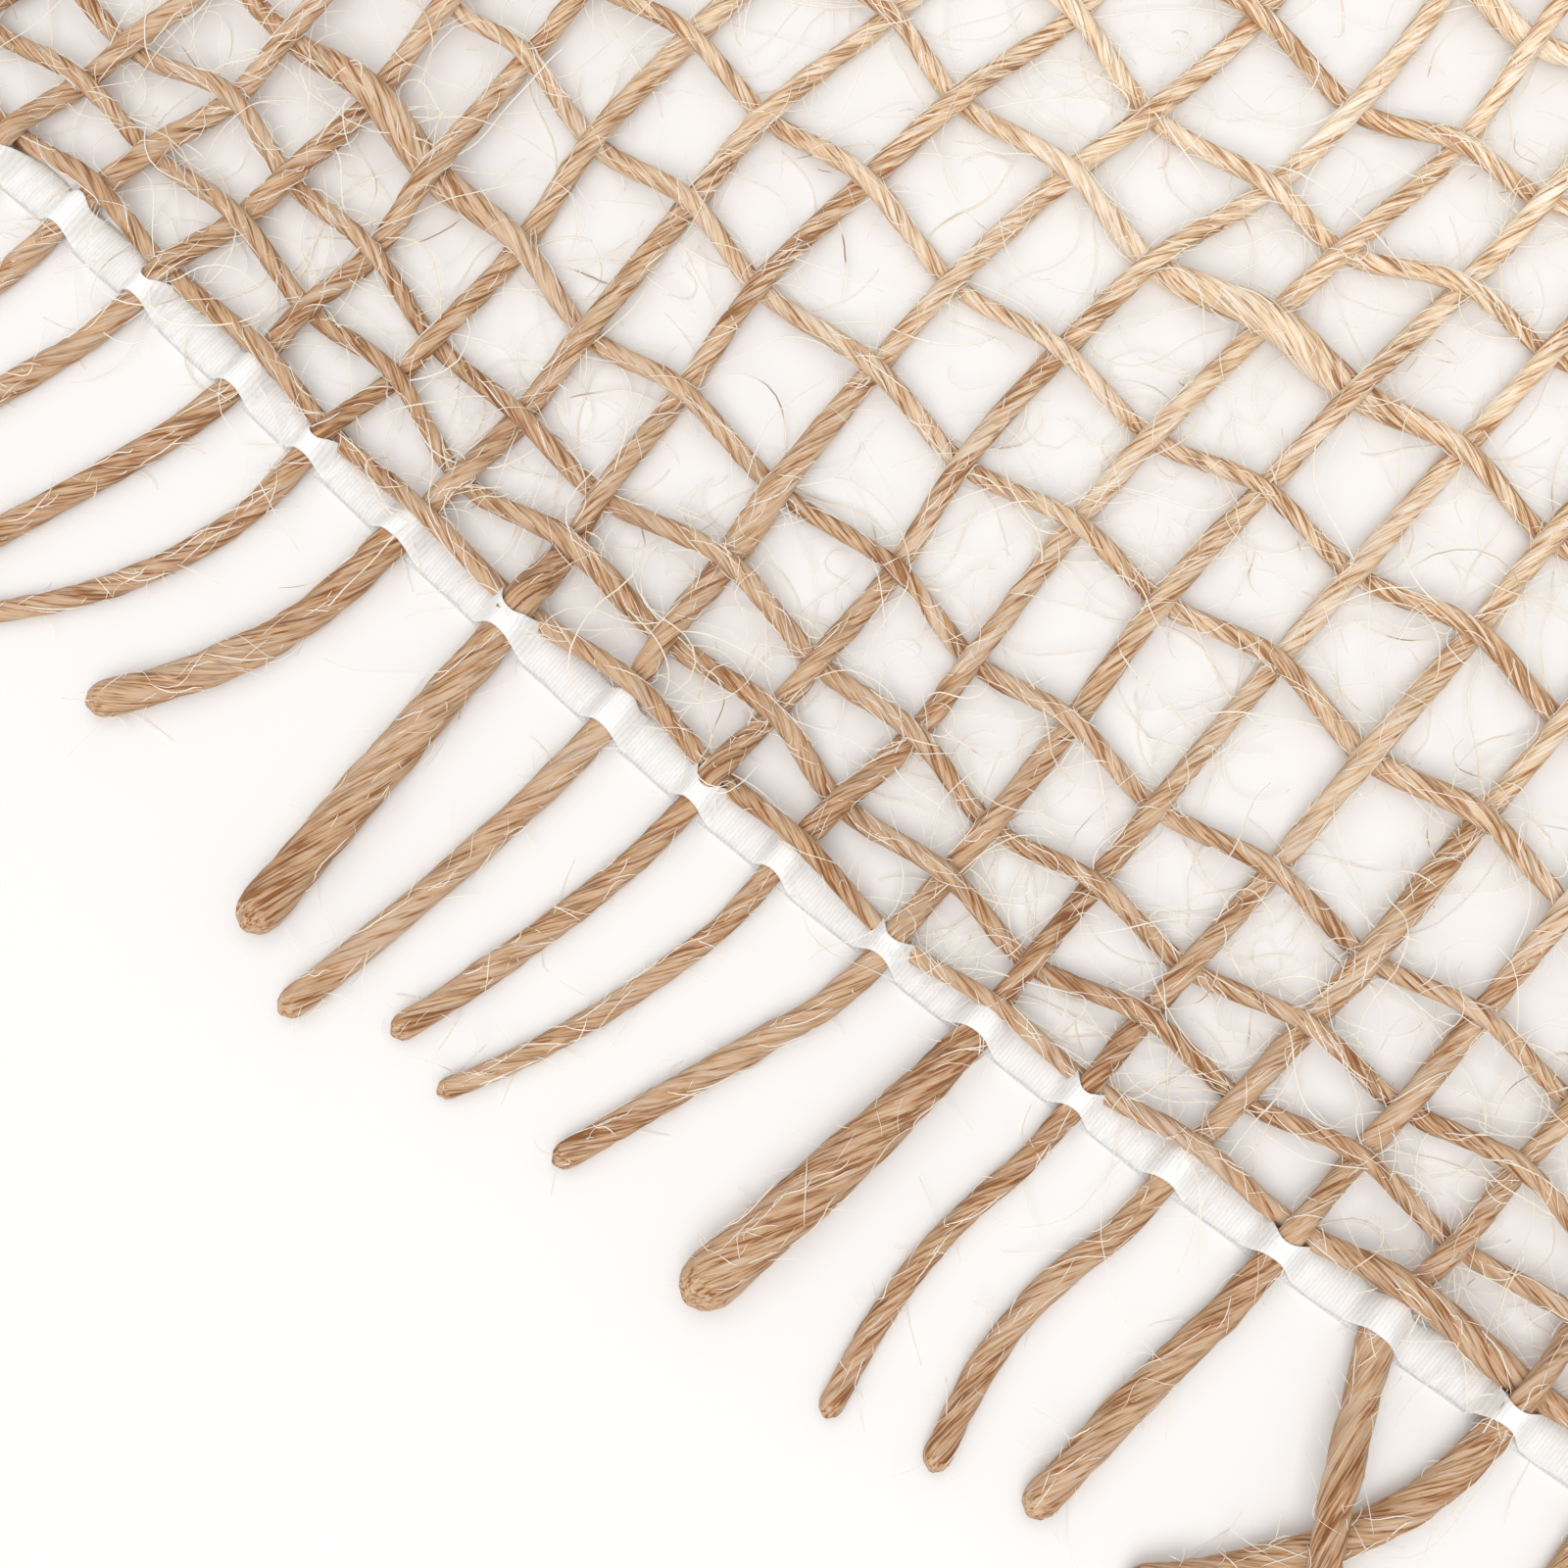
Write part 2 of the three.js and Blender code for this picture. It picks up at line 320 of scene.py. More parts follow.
# %% The line of a yarn
RESTING = 0.86  # a soft yarn's half thickness where it lies on the table, as a share of its radius


def smooth_line(points, steps):
    """A Catmull-Rom line through points, with steps[k] even steps between points k and k + 1."""
    points = np.asarray(points, float)
    padded = np.vstack([2 * points[0] - points[1], points, 2 * points[-1] - points[-2]])
    parts = []
    for k, count in enumerate(steps):
        t = (np.arange(count) / count)[:, None]
        a, b, c, d = padded[k], padded[k + 1], padded[k + 2], padded[k + 3]
        curve = 2 * b + (c - a) * t + (2 * a - 5 * b + 4 * c - d) * t**2 + (3 * b - a - 3 * c + d) * t**3
        parts.append(curve / 2)
    parts.append(points[-1:])
    return np.vstack(parts)


def rest_on_table(line, radius):
    """Lifts a yarn's line wherever a thick place would press it through the table."""
    line[:, 2] = np.maximum(line[:, 2], RESTING * radius)
    return line


def length_along(line):
    """The length of yarn from its start to each point."""
    return np.concatenate([[0.0], np.cumsum(np.linalg.norm(np.diff(line, axis=0), axis=1))])


def axes_across(line):
    """For each point of a line that never stands upright: its direction, its side and its upper side."""
    along = np.gradient(line, axis=0)
    along /= np.linalg.norm(along, axis=1)[:, None]
    side = np.cross(along, [0, 0, 1])
    side /= np.linalg.norm(side, axis=1)[:, None]
    return along, side, np.cross(side, along)


trial_line = smooth_line([[0, 0, 2], [5, 0, 3], [10, 0, 2]], [4, 4])
print("a trial line through 3 points has", len(trial_line), "points")

# %% [markdown]
# Then the rings. The twist is steady in its angle, not in its turns: a thick place turns more slowly,
# because the fibres on it still lie at the same slant. Each point also remembers where it sits in the
# bundle of fibres, as an attribute, which lets the material draw its fibres along the twist.

# %% The twisted rings
TWIST_ANGLE = math.radians(21)  # between the fibres on the surface and the yarn's own line
LOBES = ((2, 0.05, 0.4), (5, 0.05, 1.1), (8, 0.035, 2.3))  # lobes round, depth, phase


def rings(line, radius, sides, start):
    """The rings of a swept yarn, and for each of their points where it sits in the bundle of fibres."""
    run = length_along(line) + start
    _, side, up = axes_across(line)
    round_it = np.arange(sides) * 2 * math.pi / sides
    turned = np.concatenate([[0.0], np.cumsum(np.diff(run) * math.tan(TWIST_ANGLE) / radius[1:])])
    # the lobes grow and fade along the yarn, and a fine ripple runs over them
    shape = np.ones((len(line), sides))
    for count, depth, phase in LOBES:
        strength = 0.65 + 0.5 * np.sin(run / (4.1 + count) + phase * 3 + start)
        shape += depth * strength[:, None] * np.cos(count * round_it + phase)[None, :]
    shape += 0.018 * np.sin(run[:, None] * 2.9 + 3 * round_it[None, :]) * np.sin(run / 1.7)[:, None]
    angle = round_it[None, :] - turned[:, None]
    reach = radius[:, None] * shape
    across = (reach * np.cos(angle))[..., None] * side[:, None, :]
    upward = (reach * np.sin(angle))[..., None] * up[:, None, :]
    bundle = np.empty(reach.shape + (3,))
    bundle[..., 0] = run[:, None]
    bundle[..., 1] = radius[:, None] * np.cos(round_it)[None, :]
    bundle[..., 2] = radius[:, None] * np.sin(round_it)[None, :]
    points = line[:, None, :] + across + upward
    points[..., 2] = np.maximum(points[..., 2], 0.02)  # flat where it touches the table
    return points, bundle


turn_length = 2 * math.pi * WARP_RADIUS / math.tan(TWIST_ANGLE)
print("one turn of a plain warp yarn takes", round(turn_length, 1), "mm")

# %% [markdown]
# A mesh is only a list of points and a list of faces. This small class collects both for all the tubes
# of one piece, closes their ends, and then makes the object. It sits at the origin with its place in
# its mesh, as the imported nodes do. It also marks how near each point is to an end of the runner, where
# the jute is made darker.

# %% Collecting tubes into a piece
DARK_END_REACH = 60.0  # mm from an end over which the yarn is darker


class Strands:
    """Collects swept tubes, and makes one mesh of them."""

    def __init__(self):
        self.points, self.bundle, self.faces, self.count = [], [], [], 0

    def add_points(self, points, bundle):
        """Adds points with their places in the bundle, and gives the number of the first."""
        start = self.count
        flat = points.reshape(-1, 3)
        self.points.append(flat)
        self.bundle.append(bundle.reshape(-1, 3))
        self.count += len(flat)
        return start

    def add_sleeve(self, start, ring_count, sides):
        """The side faces between rings that were added one after another."""
        ring = np.arange(ring_count - 1)[:, None] * sides + start
        k = np.arange(sides)[None, :]
        after = (k + 1) % sides
        quads = np.stack([ring + k, ring + after, ring + sides + after, ring + sides + k], axis=-1)
        self.faces.extend(quads.reshape(-1, 4).tolist())

    def add_cap(self, first, sides, at_end):
        """Closes one end of a tube. At its start the ring is turned round, so the face points out."""
        loop = list(range(first, first + sides))
        self.faces.append(loop if at_end else loop[::-1])

    def add_step_down(self, fine, coarse, sides, ratio):
        """Joins a ring with ratio * sides points to the next one with sides points."""
        for k in range(sides):
            here, there = coarse + k, coarse + (k + 1) % sides
            edge = [fine + (k * ratio + n) % (sides * ratio) for n in range(ratio + 1)]
            for n in range(ratio - 1):
                self.faces.append([edge[n], edge[n + 1], here])
            self.faces.append([edge[ratio - 1], edge[ratio], there, here])

    def piece(self, name, material):
        """Makes the mesh and its object, smooth, with its two attributes."""
        points = np.vstack(self.points)
        mesh = bpy.data.meshes.new(name)
        mesh.from_pydata((points * MM).tolist(), [], self.faces)
        layer = mesh.attributes.new("bundle", "FLOAT_VECTOR", "POINT")
        layer.data.foreach_set("vector", np.vstack(self.bundle).astype(np.float32).ravel())
        from_end = np.maximum(np.minimum(points[:, 1] - front_edge, back_edge - points[:, 1]), 0)
        end_darkening = mesh.attributes.new("end_darkening", "FLOAT", "POINT")
        end_darkening.data.foreach_set("value", np.exp(-((from_end / DARK_END_REACH) ** 2)).astype(np.float32))
        mesh.polygons.foreach_set("use_smooth", [True] * len(mesh.polygons))
        mesh.update()
        made = bpy.data.objects.new(name, mesh)
        bpy.context.scene.collection.objects.link(made)
        made.data.materials.append(material)
        return made


trial = Strands()
trial.add_points(*rings(trial_line, np.ones(len(trial_line)), 6, 0.0))
trial.add_sleeve(0, len(trial_line), 6)
print("a trial tube with 6 sides has", trial.count, "points and", len(trial.faces), "side faces")

# %% [markdown]
# ## Colours and nodes
#
# Colours are written as sRGB hex, as a painter's chart gives them, and one function turns them to the
# linear values that Blender mixes light with. One more function adds a node, with its settings and its
# links, so a material reads as a short recipe.

# %% Colours and nodes
def linear(hex_colour):
    """An sRGB hex colour as linear red, green, blue and alpha."""
    parts = [int(hex_colour[k : k + 2], 16) / 255 for k in (1, 3, 5)]
    return [(c / 12.92 if c <= 0.04045 else ((c + 0.055) / 1.055) ** 2.4) for c in parts] + [1.0]


def add_node(material, kind, settings=None, inputs=None):
    """Adds one node. settings are the node's own, and inputs are values or other nodes' outputs."""
    tree = material.node_tree
    node = tree.nodes.new(kind)
    for name, value in (settings or {}).items():
        setattr(node, name, value)
    for name, value in (inputs or {}).items():
        if isinstance(value, bpy.types.NodeSocket):
            tree.links.new(value, node.inputs[name])
        else:
            node.inputs[name].default_value = value
    return node


def set_ramp(node, stops):
    """Gives a colour ramp its stops, as places and hex colours."""
    ramp = node.color_ramp
    while len(ramp.elements) < len(stops):
        ramp.elements.new(0.5)
    for element, (place, colour) in zip(ramp.elements, stops):
        element.position = place
        element.color = linear(colour)
    return node


def new_material(name):
    """A material with an empty node tree."""
    material = bpy.data.materials.new(name)
    material.use_nodes = True
    material.node_tree.nodes.clear()
    return material


print("straw in linear light:", [round(v, 3) for v in linear("#E8C6A0")[:3]])

# %% [markdown]
# ## The jute
#
# Raw jute is a bast fibre: long, coarse, slightly glossy threads of gold, straw and brown lying side
# by side. Spun with one single twist it shows the eye fine streaks that follow the twist, dark lines
# where two bundles part, pale hairs that catch the light, and a slow change of tone along the yarn. The
# dark lines are painted shade and the pale hairs painted highlights. The pattern reads the "bundle"
# attribute, whose first part runs along the yarn in mm and whose other two go round it, so streaks are
# a few mm long one way and about as thin as a bundle of fibres the other.

# %% Jute streaks
# The length and width in mm of each kind of streak, and the seed of its noise.
STREAKS = {
    "fibre": (1.5, 0.11, 1),
    "bundle": (2.4, 0.24, 2),
    "tone": (22, 3.0, 3),
    # the last two kinds are painted: shade in the gaps where bundles part, and highlights on single pale
    # fibres
    "gap": (2.2, 0.17, 5),
    "glint": (2.6, 0.13, 7),
}


def streak_noise(material, source, kind, detail=1.0):
    """Noise drawn out along a yarn. A streak is half a wave of the noise, so its own scale is a half."""
    length, width, seed = STREAKS[kind]
    scale = (1 / length, 1 / width, 1 / width)
    place = (seed * 3.7, seed * 1.3, 0)
    moved = add_node(material, "ShaderNodeMapping", None,
                     {"Vector": source, "Location": place, "Scale": scale})
    return add_node(material, "ShaderNodeTexNoise", None,
                    {"Vector": moved.outputs["Vector"], "Scale": 0.5, "Detail": detail, "Roughness": 0.6,
                     "Distortion": 0.45})


def mix_colours(material, blend, share, first, second):
    """Mixes two colours by a share. The mix node has sockets of one name for each kind of value."""
    node = add_node(material, "ShaderNodeMix", {"data_type": "RGBA", "blend_type": blend})
    sockets = {socket.identifier: socket for socket in node.inputs}
    for key, value in (("Factor_Float", share), ("A_Color", first), ("B_Color", second)):
        if isinstance(value, bpy.types.NodeSocket):
            material.node_tree.links.new(value, sockets[key])
        else:
            sockets[key].default_value = value
    return next(socket for socket in node.outputs if socket.identifier == "Result_Color")


for kind, (length, width, _) in STREAKS.items():
    print(kind, "streaks are about", length, "mm long and", width, "mm wide")

# %% [markdown]
# The material puts five such noises together. Three choose the colour: single fibres, bundles of them
# and the slow change of tone. One draws the dark gaps, which are painted shade, and one the pale hairs,
# which are painted highlights. The same streaks raise a low relief, and near its two ends the yarn is
# darker. Jute has little gloss, which changes from fibre to fibre, and a faint sheen, because short
# fibres stand off it all over.

# %% The jute material
def twisted_jute(name, tones, gap_shade_brown, glint_cream, end_dark_tint):
    """Spun jute, as it leaves the spinner: matt with a faint silky sheen along the fibres."""
    material = new_material(name)
    bundle = add_node(material, "ShaderNodeAttribute", {"attribute_name": "bundle"}).outputs["Vector"]
    fine = streak_noise(material, bundle, "fibre", 2.0)
    broad = streak_noise(material, bundle, "bundle", 2.0)
    tone = streak_noise(material, bundle, "tone")
    summed = add_node(material, "ShaderNodeMath", {"operation": "MULTIPLY_ADD"},
                      {0: broad.outputs["Fac"], 1: 0.62, 2: fine.outputs["Fac"]})
    both = add_node(material, "ShaderNodeMath", {"operation": "MULTIPLY_ADD"},
                    {0: tone.outputs["Fac"], 1: 0.5, 2: summed.outputs[0]})
    level = add_node(material, "ShaderNodeMapRange", None,
                     {"Value": both.outputs[0], "From Min": 0.76, "From Max": 1.36})
    colours = add_node(material, "ShaderNodeValToRGB", None, {"Fac": level.outputs["Result"]})
    set_ramp(colours, list(zip((0.22, 0.42, 0.60, 0.84), tones)))
    # painted shade in the dark lines where two bundles part, and painted highlights on single pale fibres
    # that catch the light
    parting = streak_noise(material, bundle, "gap")
    gap = add_node(material, "ShaderNodeMapRange", None,
                   {"Value": parting.outputs["Fac"], "From Min": 0.58, "From Max": 0.70, "To Max": 0.46})
    glint = streak_noise(material, bundle, "glint")
    glint_mask = add_node(material, "ShaderNodeMapRange", None,
                     {"Value": glint.outputs["Fac"], "From Min": 0.57, "From Max": 0.68, "To Max": 0.55})
    plain = colours.outputs["Color"]
    gap_shaded = mix_colours(material, "MIX", gap.outputs["Result"], plain, linear(gap_shade_brown))
    glinted = mix_colours(material, "MIX", glint_mask.outputs["Result"], gap_shaded, linear(glint_cream))
    # the yarn is tinted darker near the runner's two ends
    end_darkening = add_node(material, "ShaderNodeAttribute", {"attribute_name": "end_darkening"}).outputs["Fac"]
    darkened_ends = mix_colours(material, "MULTIPLY", end_darkening, glinted, linear(end_dark_tint))
    relief = add_node(material, "ShaderNodeMath", {"operation": "SUBTRACT"},
                      {0: summed.outputs[0], 1: gap.outputs["Result"]})
    bump = add_node(material, "ShaderNodeBump", None,
                    {"Height": relief.outputs[0], "Strength": 0.75, "Distance": 0.0002})
    gloss = add_node(material, "ShaderNodeMapRange", None,
                     {"Value": fine.outputs["Fac"], "To Min": 0.95, "To Max": 0.7})
    shader = add_node(material, "ShaderNodeBsdfPrincipled", None, {
        "Base Color": darkened_ends, "Roughness": gloss.outputs["Result"],
        "Normal": bump.outputs["Normal"], "Specular IOR Level": 0.22,
        "Sheen Weight": 0.12, "Sheen Roughness": 0.5, "Sheen Tint": linear("#F6EAD6"),
    })
    add_node(material, "ShaderNodeOutputMaterial", None, {"Surface": shader.outputs["BSDF"]})
    return material


JUTE_TONES = ("#AF7F56", "#E8C6A0", "#FAE3C3", "#FFF4E4")  # bark brown, gold, straw and cream
# painted shade for the gaps between bundles, a painted highlight for the pale fibres, and a tint that
# darkens the ends
GAP_SHADE_BROWN, GLINT_CREAM, END_DARK_TINT = "#95683F", "#FFF8EA", "#CDBBAE"
jute = twisted_jute("raw_jute_single_twist", JUTE_TONES, GAP_SHADE_BROWN, GLINT_CREAM, END_DARK_TINT)
print("material", jute.name, "with", len(jute.node_tree.nodes), "nodes")

# %% [markdown]
# ## The warp yarns and the fringe
#
# A warp yarn goes from fringe tip to fringe tip. Between the hems it rides over and under the weft, and
# past each hem it lies loose on the table, where it untwists a little and grows thicker. So its line is
# put together from five parts: a loose end, the place where the hem holds it, its crossings, the other
# hem and the other loose end.

# %% The line of a warp yarn
ROOT = 1.4  # mm inside the hem's outer edge where the stitches hold a yarn
BACK_HALF = 1.2  # mm, half the thickness of the loose ends at the back


def end_widths(i):
    """A loose end's width at the hem and at its tip: from the list, or by a rule for the others."""
    k = i - FIRST_END
    if 0 <= k < len(END_WIDTHS):
        return END_WIDTHS[k]
    return 2.0 + 0.5 * abs(math.sin(i * 1.7)), 2.1 + 0.8 * abs(math.sin(i * 2.9))


def loose_end(i, side):
    """The points of one loose end, from the hem outwards, lying on the table."""
    line = warp_lines[i]
    if side < 0:
        points, edge, slide, bend = line[:ENDS][::-1], front_edge, end_slide[i], END_BENDS.get(i, 0.0)
        half = max(end_widths(i)) / 2
    else:
        points, edge, slide, bend, half = line[-ENDS:], back_edge, 0.0, 0.0, BACK_HALF
    lifted = points[:, 2] - line[ENDS][2]
    moved = points + [slide, end_bow(warp_x[i], edge), 0]
    moved[:, 0] -= bend * np.sin(np.linspace(0.15, math.pi, len(points)))
    # an end that crosses its neighbour is lifted over it, by more where it is thick itself
    moved[:, 2] = RESTING * half + 0.1 + lifted * (half + 1.6) / 2.2
    return moved


def warp_points(i):
    """The points of a whole warp yarn, from its front tip to its back one."""
    held = HEM_BASE * 0.8 + SQUEEZE * end_widths(i)[0] / 2  # its height inside the hem
    near_rise, far_rise = (0.3 * max(warp_z[i, row] - held, 0) for row in (0, -1))
    root = [hem_x[i], front_edge + end_bow(warp_x[i], front_edge) + ROOT, held + near_rise]
    far_root = [warp_x[i], back_edge + end_bow(warp_x[i], back_edge) - ROOT, held + far_rise]
    net = np.stack([cross_x[i], cross_y[i], warp_z[i]], axis=1)
    return np.vstack([loose_end(i, -1)[::-1], [root], net, [far_root], loose_end(i, 1)])


print("the thickest loose end is", max(max(end_widths(i)) for i in range(warp_count)), "mm wide")

# %% [markdown]
# The thickness goes by the yarn's own rule inside the net and by the loose end's two widths outside it,
# and the change from one to the other comes by the hem's inner edge. A cut tip is soft, so it is rounded
# like the end of a sausage: the radius follows a quarter circle down to almost nothing.

# %% The thickness of a warp yarn
TIP = 1.3  # how long a rounded tip is, in radii
END_REACH = 26.0  # mm of a loose end over which it goes from its hem width to its tip width
INSIDE, EASE = 6.0, 4.0  # mm inside the edge where a yarn starts to take its end's width, and over how far


def rounded(radius, from_tip):
    """Draws the radius in towards a tip, as a quarter circle."""
    share = np.clip(from_tip / (TIP * np.maximum(radius, 0.1)), 0, 1)
    return radius * np.sqrt(np.maximum(1 - (1 - share) ** 2, 0.02))


def rounded_ends(radius, run):
    """Rounds both tips of a yarn, where run is the length from its start to each point."""
    return rounded(rounded(radius, run), run[-1] - run)


def warp_thickness(i, line):
    """The radius at each point of a warp yarn's line."""
    y = line[:, 1]
    radius = radius_along(y, WARP_RADIUS, warp_phases[i], warp_slubs[i])
    at_hem, at_tip = (w / 2 for w in end_widths(i))
    for edge, out in ((front_edge, -1), (back_edge, 1)):
        past = (y - edge) * out
        share = np.clip(past / END_REACH, 0, 1)
        width = at_hem + (at_tip - at_hem) * share**0.8
        swollen = width * (1 + 0.5 * SWELL * slow_waves(warp_phases[i], y))
        blend = np.clip((past + INSIDE) / EASE, 0, 1)
        radius = swollen * blend + radius * (1 - blend)
    return rounded_ends(radius, length_along(line))


print("tips are rounded over about", round(TIP * WARP_RADIUS, 1), "mm")

# %% [markdown]
# Where one looks closely, near the front end, the rings are close together and have many sides. Further
# off both are few, which keeps the whole runner light, and one row of faces joins the two kinds without
# a gap. Each yarn starts at its own place in the pattern, so no two show the same streaks.

# %% Warp yarns
CLOSE = 118.0  # mm past the front hem that the fine rings go
FINE_STEP, COARSE_STEP = 0.9, 3.4  # mm along a yarn from ring to ring
COARSE_SIDES, RATIO = 8, 3
FINE_SIDES = COARSE_SIDES * RATIO
PATTERN_STEP = 531.0  # mm between the places in the pattern where two neighbours start


def make_warp(i):
    """Sweeps one warp yarn as one closed mesh, fine near the front end and coarse past it."""
    points = warp_points(i)
    gaps = np.linalg.norm(np.diff(points, axis=0), axis=1)
    fine = points[:-1, 1] < front_edge + CLOSE
    steps = np.where(fine, np.ceil(gaps / FINE_STEP), np.ceil(gaps / COARSE_STEP)).astype(int)
    steps[0] += 4  # more rings where the two tips are rounded
    steps[-1] += 3
    line = smooth_line(points, steps)
    fine_rings = int(steps[fine].sum())
    radius = warp_thickness(i, line)
    line = rest_on_table(line, radius)
    strands = Strands()
    start = i * PATTERN_STEP
    close, close_bundle = rings(line, radius, FINE_SIDES, start)
    away, away_bundle = rings(line, radius, COARSE_SIDES, start)
    first = strands.add_points(close[:fine_rings], close_bundle[:fine_rings])
    second = strands.add_points(away[fine_rings:], away_bundle[fine_rings:])
    strands.add_sleeve(first, fine_rings, FINE_SIDES)
    strands.add_step_down(first + (fine_rings - 1) * FINE_SIDES, second, COARSE_SIDES, RATIO)
    strands.add_sleeve(second, len(line) - fine_rings, COARSE_SIDES)
    strands.add_cap(first, FINE_SIDES, False)
    strands.add_cap(second + (len(line) - fine_rings - 1) * COARSE_SIDES, COARSE_SIDES, True)
    piece = strands.piece(warp_names[i] + "_twisted", jute)
    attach(piece, "root")
    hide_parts(warp_names[i])
    return piece, line, radius


warps = [make_warp(i) for i in range(warp_count)]
print("faces on one warp yarn:", len(warps[0][0].data.polygons))

# %% [markdown]
# ## The weft yarn
#
# The weft is a single yarn. It crosses the runner in every row, alternately over and under the warp,
# and turns back round the outermost warp yarn, which makes the selvedge. So its line is the crossings
# of row after row, the next one always in the other direction, with two points for each turn.

# %% The line of the weft
TURN_SHARES = (0.25, 0.75)  # where a turn's two points lie between its two rows
TURN_LIFT = 0.2  # mm that a turn stands clear of the table


def turn_points(j, side):
    """The two points of the half turn after row j, at that edge."""
    gap = row_y[j + 1] - row_y[j]
    edge = side * (half_width - WEFT_RADIUS)
    height = table_swell(edge, row_y[j]) + WEFT_RADIUS + TURN_LIFT
    lead = end_bow(edge, row_y[j])
    return [[edge, row_y[j] + gap * share + lead, height] for share in TURN_SHARES]


def weft_points():
    """Every point of the weft in order, and the row that each belongs to."""
    points, owner = [], []
    for j in range(row_count):
        side = 1 if j % 2 == 0 else -1
        across = np.stack([cross_x[:, j], cross_y[:, j], weft_z[:, j]], axis=1)
        points.extend(across[::side].tolist())
        if j < row_count - 1:
            points.extend(turn_points(j, side))
        owner.extend([j] * (len(points) - len(owner)))
    return np.array(points), np.array(owner)


knots, knot_row = weft_points()
print("the weft goes through", len(knots), "points")

# %% [markdown]
# Each row has its own waves and slubs, and its thickness is smoothed into the next row's at the turn.
# The yarn is cut into three pieces here only so that no mesh is too heavy: the rows by the front end,
# which are fine, and two halves of the rest. Where two pieces meet they share a ring, so no gap shows.

# %% The weft yarn
FINE_ROWS = 11  # rows at the front end with fine rings
WEFT_SIDES = 20
WEFT_START = 7777.0  # mm, its place in the pattern, away from all the warp yarns' places


def weft_thickness(line, owner):
    """The radius at each point of the weft's line, where owner is the row that each belongs to."""
    radius = np.empty(len(line))
    for j in range(row_count):
        mine = owner == j
        radius[mine] = radius_along(line[mine, 0], weft_plain(j), weft_phases[j], weft_slubs[j])
    for _ in range(6):
        radius[1:-1] = (radius[:-2] + 2 * radius[1:-1] + radius[2:]) / 4
    return rounded_ends(radius, length_along(line))


def cut_weft(name, first, last, sides):
    """One piece of the weft, from ring first to ring last of its line."""
    strands = Strands()
    points, bundle = weft_rings[sides]
    start = strands.add_points(points[first : last + 1], bundle[first : last + 1])
    strands.add_sleeve(start, last - first + 1, sides)
    strands.add_cap(start, sides, False)
    strands.add_cap(start + (last - first) * sides, sides, True)
    piece = strands.piece(name, jute)
    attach(piece, "root")
    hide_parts("weft_yarn")
    print(name, "has", len(piece.data.polygons), "faces")
    return piece


gaps = np.linalg.norm(np.diff(knots, axis=0), axis=1)
weft_step = np.where(knot_row[:-1] < FINE_ROWS, FINE_STEP, COARSE_STEP)
weft_steps = np.maximum(np.ceil(gaps / weft_step), 2).astype(int)
weft_line = smooth_line(knots, weft_steps)
weft_owner = np.append(np.repeat(knot_row[:-1], weft_steps), knot_row[-1])
weft_width = weft_thickness(weft_line, weft_owner)
weft_line = rest_on_table(weft_line, weft_width)
weft_rings = {}
for sides in (WEFT_SIDES, COARSE_SIDES):
    weft_rings[sides] = rings(weft_line, weft_width, sides, WEFT_START)
fine_end = int(np.flatnonzero(weft_owner < FINE_ROWS)[-1])
half_row = (FINE_ROWS + row_count) // 2
half_way = int(np.flatnonzero(weft_owner <= half_row)[-1])
weft_front = cut_weft("weft_yarn_front_rows", 0, fine_end, WEFT_SIDES)
weft_middle = cut_weft("weft_yarn_middle_rows", fine_end, half_way, COARSE_SIDES)
weft_back = cut_weft("weft_yarn_back_rows", half_way, len(weft_line) - 1, COARSE_SIDES)
wefts = [weft_front, weft_middle, weft_back]
print("the weft is", round(length_along(weft_line)[-1] / 1000, 1), "m long")

# %% [markdown]
# ## The white thread
#
# Each end is locked with soft white thread, a bulked one whose filaments are crimped so that they fill
# the gaps. It gives the eye a bright, matt, almost chalky white with faint ribs where thread lies by
# thread. The colour is greyer where the relief is low, which is painted shade in the grooves between
# ribs and in the hollows of the fuzz. Light goes a little way into it, so its shadows are soft, which a
# small subsurface part gives.

# %% The white thread
def soft_white_thread(name):
    """Bulked white thread laid side by side: fine ribs, matt, and bright because it scatters light."""
    material = new_material(name)
    bundle = add_node(material, "ShaderNodeAttribute", {"attribute_name": "bundle"}).outputs["Vector"]
    ribs = add_node(material, "ShaderNodeTexWave", {"wave_type": "BANDS", "bands_direction": "X"},
                    {"Vector": bundle, "Scale": 0.9, "Distortion": 2.0, "Detail": 2.0, "Detail Scale": 1.4})
    fuzz = add_node(material, "ShaderNodeTexNoise", None, {"Vector": bundle, "Scale": 2.6, "Detail": 3.0})
    summed = add_node(material, "ShaderNodeMath", {"operation": "MULTIPLY_ADD"},
                      {0: fuzz.outputs["Fac"], 1: 1.1, 2: ribs.outputs["Fac"]})
    level = add_node(material, "ShaderNodeMapRange", None,
                     {"Value": summed.outputs[0], "From Min": 0.2, "From Max": 1.7})
    # painted shade: the white turns greyer where the ribs and the fuzz are low
    colours = add_node(material, "ShaderNodeValToRGB", None, {"Fac": level.outputs["Result"]})
    set_ramp(colours, [(0.0, "#E9E7E4"), (0.45, "#F4F3F1"), (1.0, "#FCFCFB")])
    bump = add_node(material, "ShaderNodeBump", None,
                    {"Height": level.outputs["Result"], "Strength": 0.4, "Distance": 0.00014})
    shader = add_node(material, "ShaderNodeBsdfPrincipled", None, {
        "Base Color": colours.outputs["Color"], "Roughness": 0.82, "Normal": bump.outputs["Normal"],
        "Specular IOR Level": 0.25, "Sheen Weight": 0.3, "Sheen Roughness": 0.5,
        "Subsurface Weight": 0.6, "Subsurface Radius": (0.6, 0.6, 0.6), "Subsurface Scale": 0.001,
    })
    add_node(material, "ShaderNodeOutputMaterial", None, {"Surface": shader.outputs["BSDF"]})
    return material


white_thread = soft_white_thread("soft_white_overlock_thread")
print("material", white_thread.name, "with", len(white_thread.node_tree.nodes), "nodes")

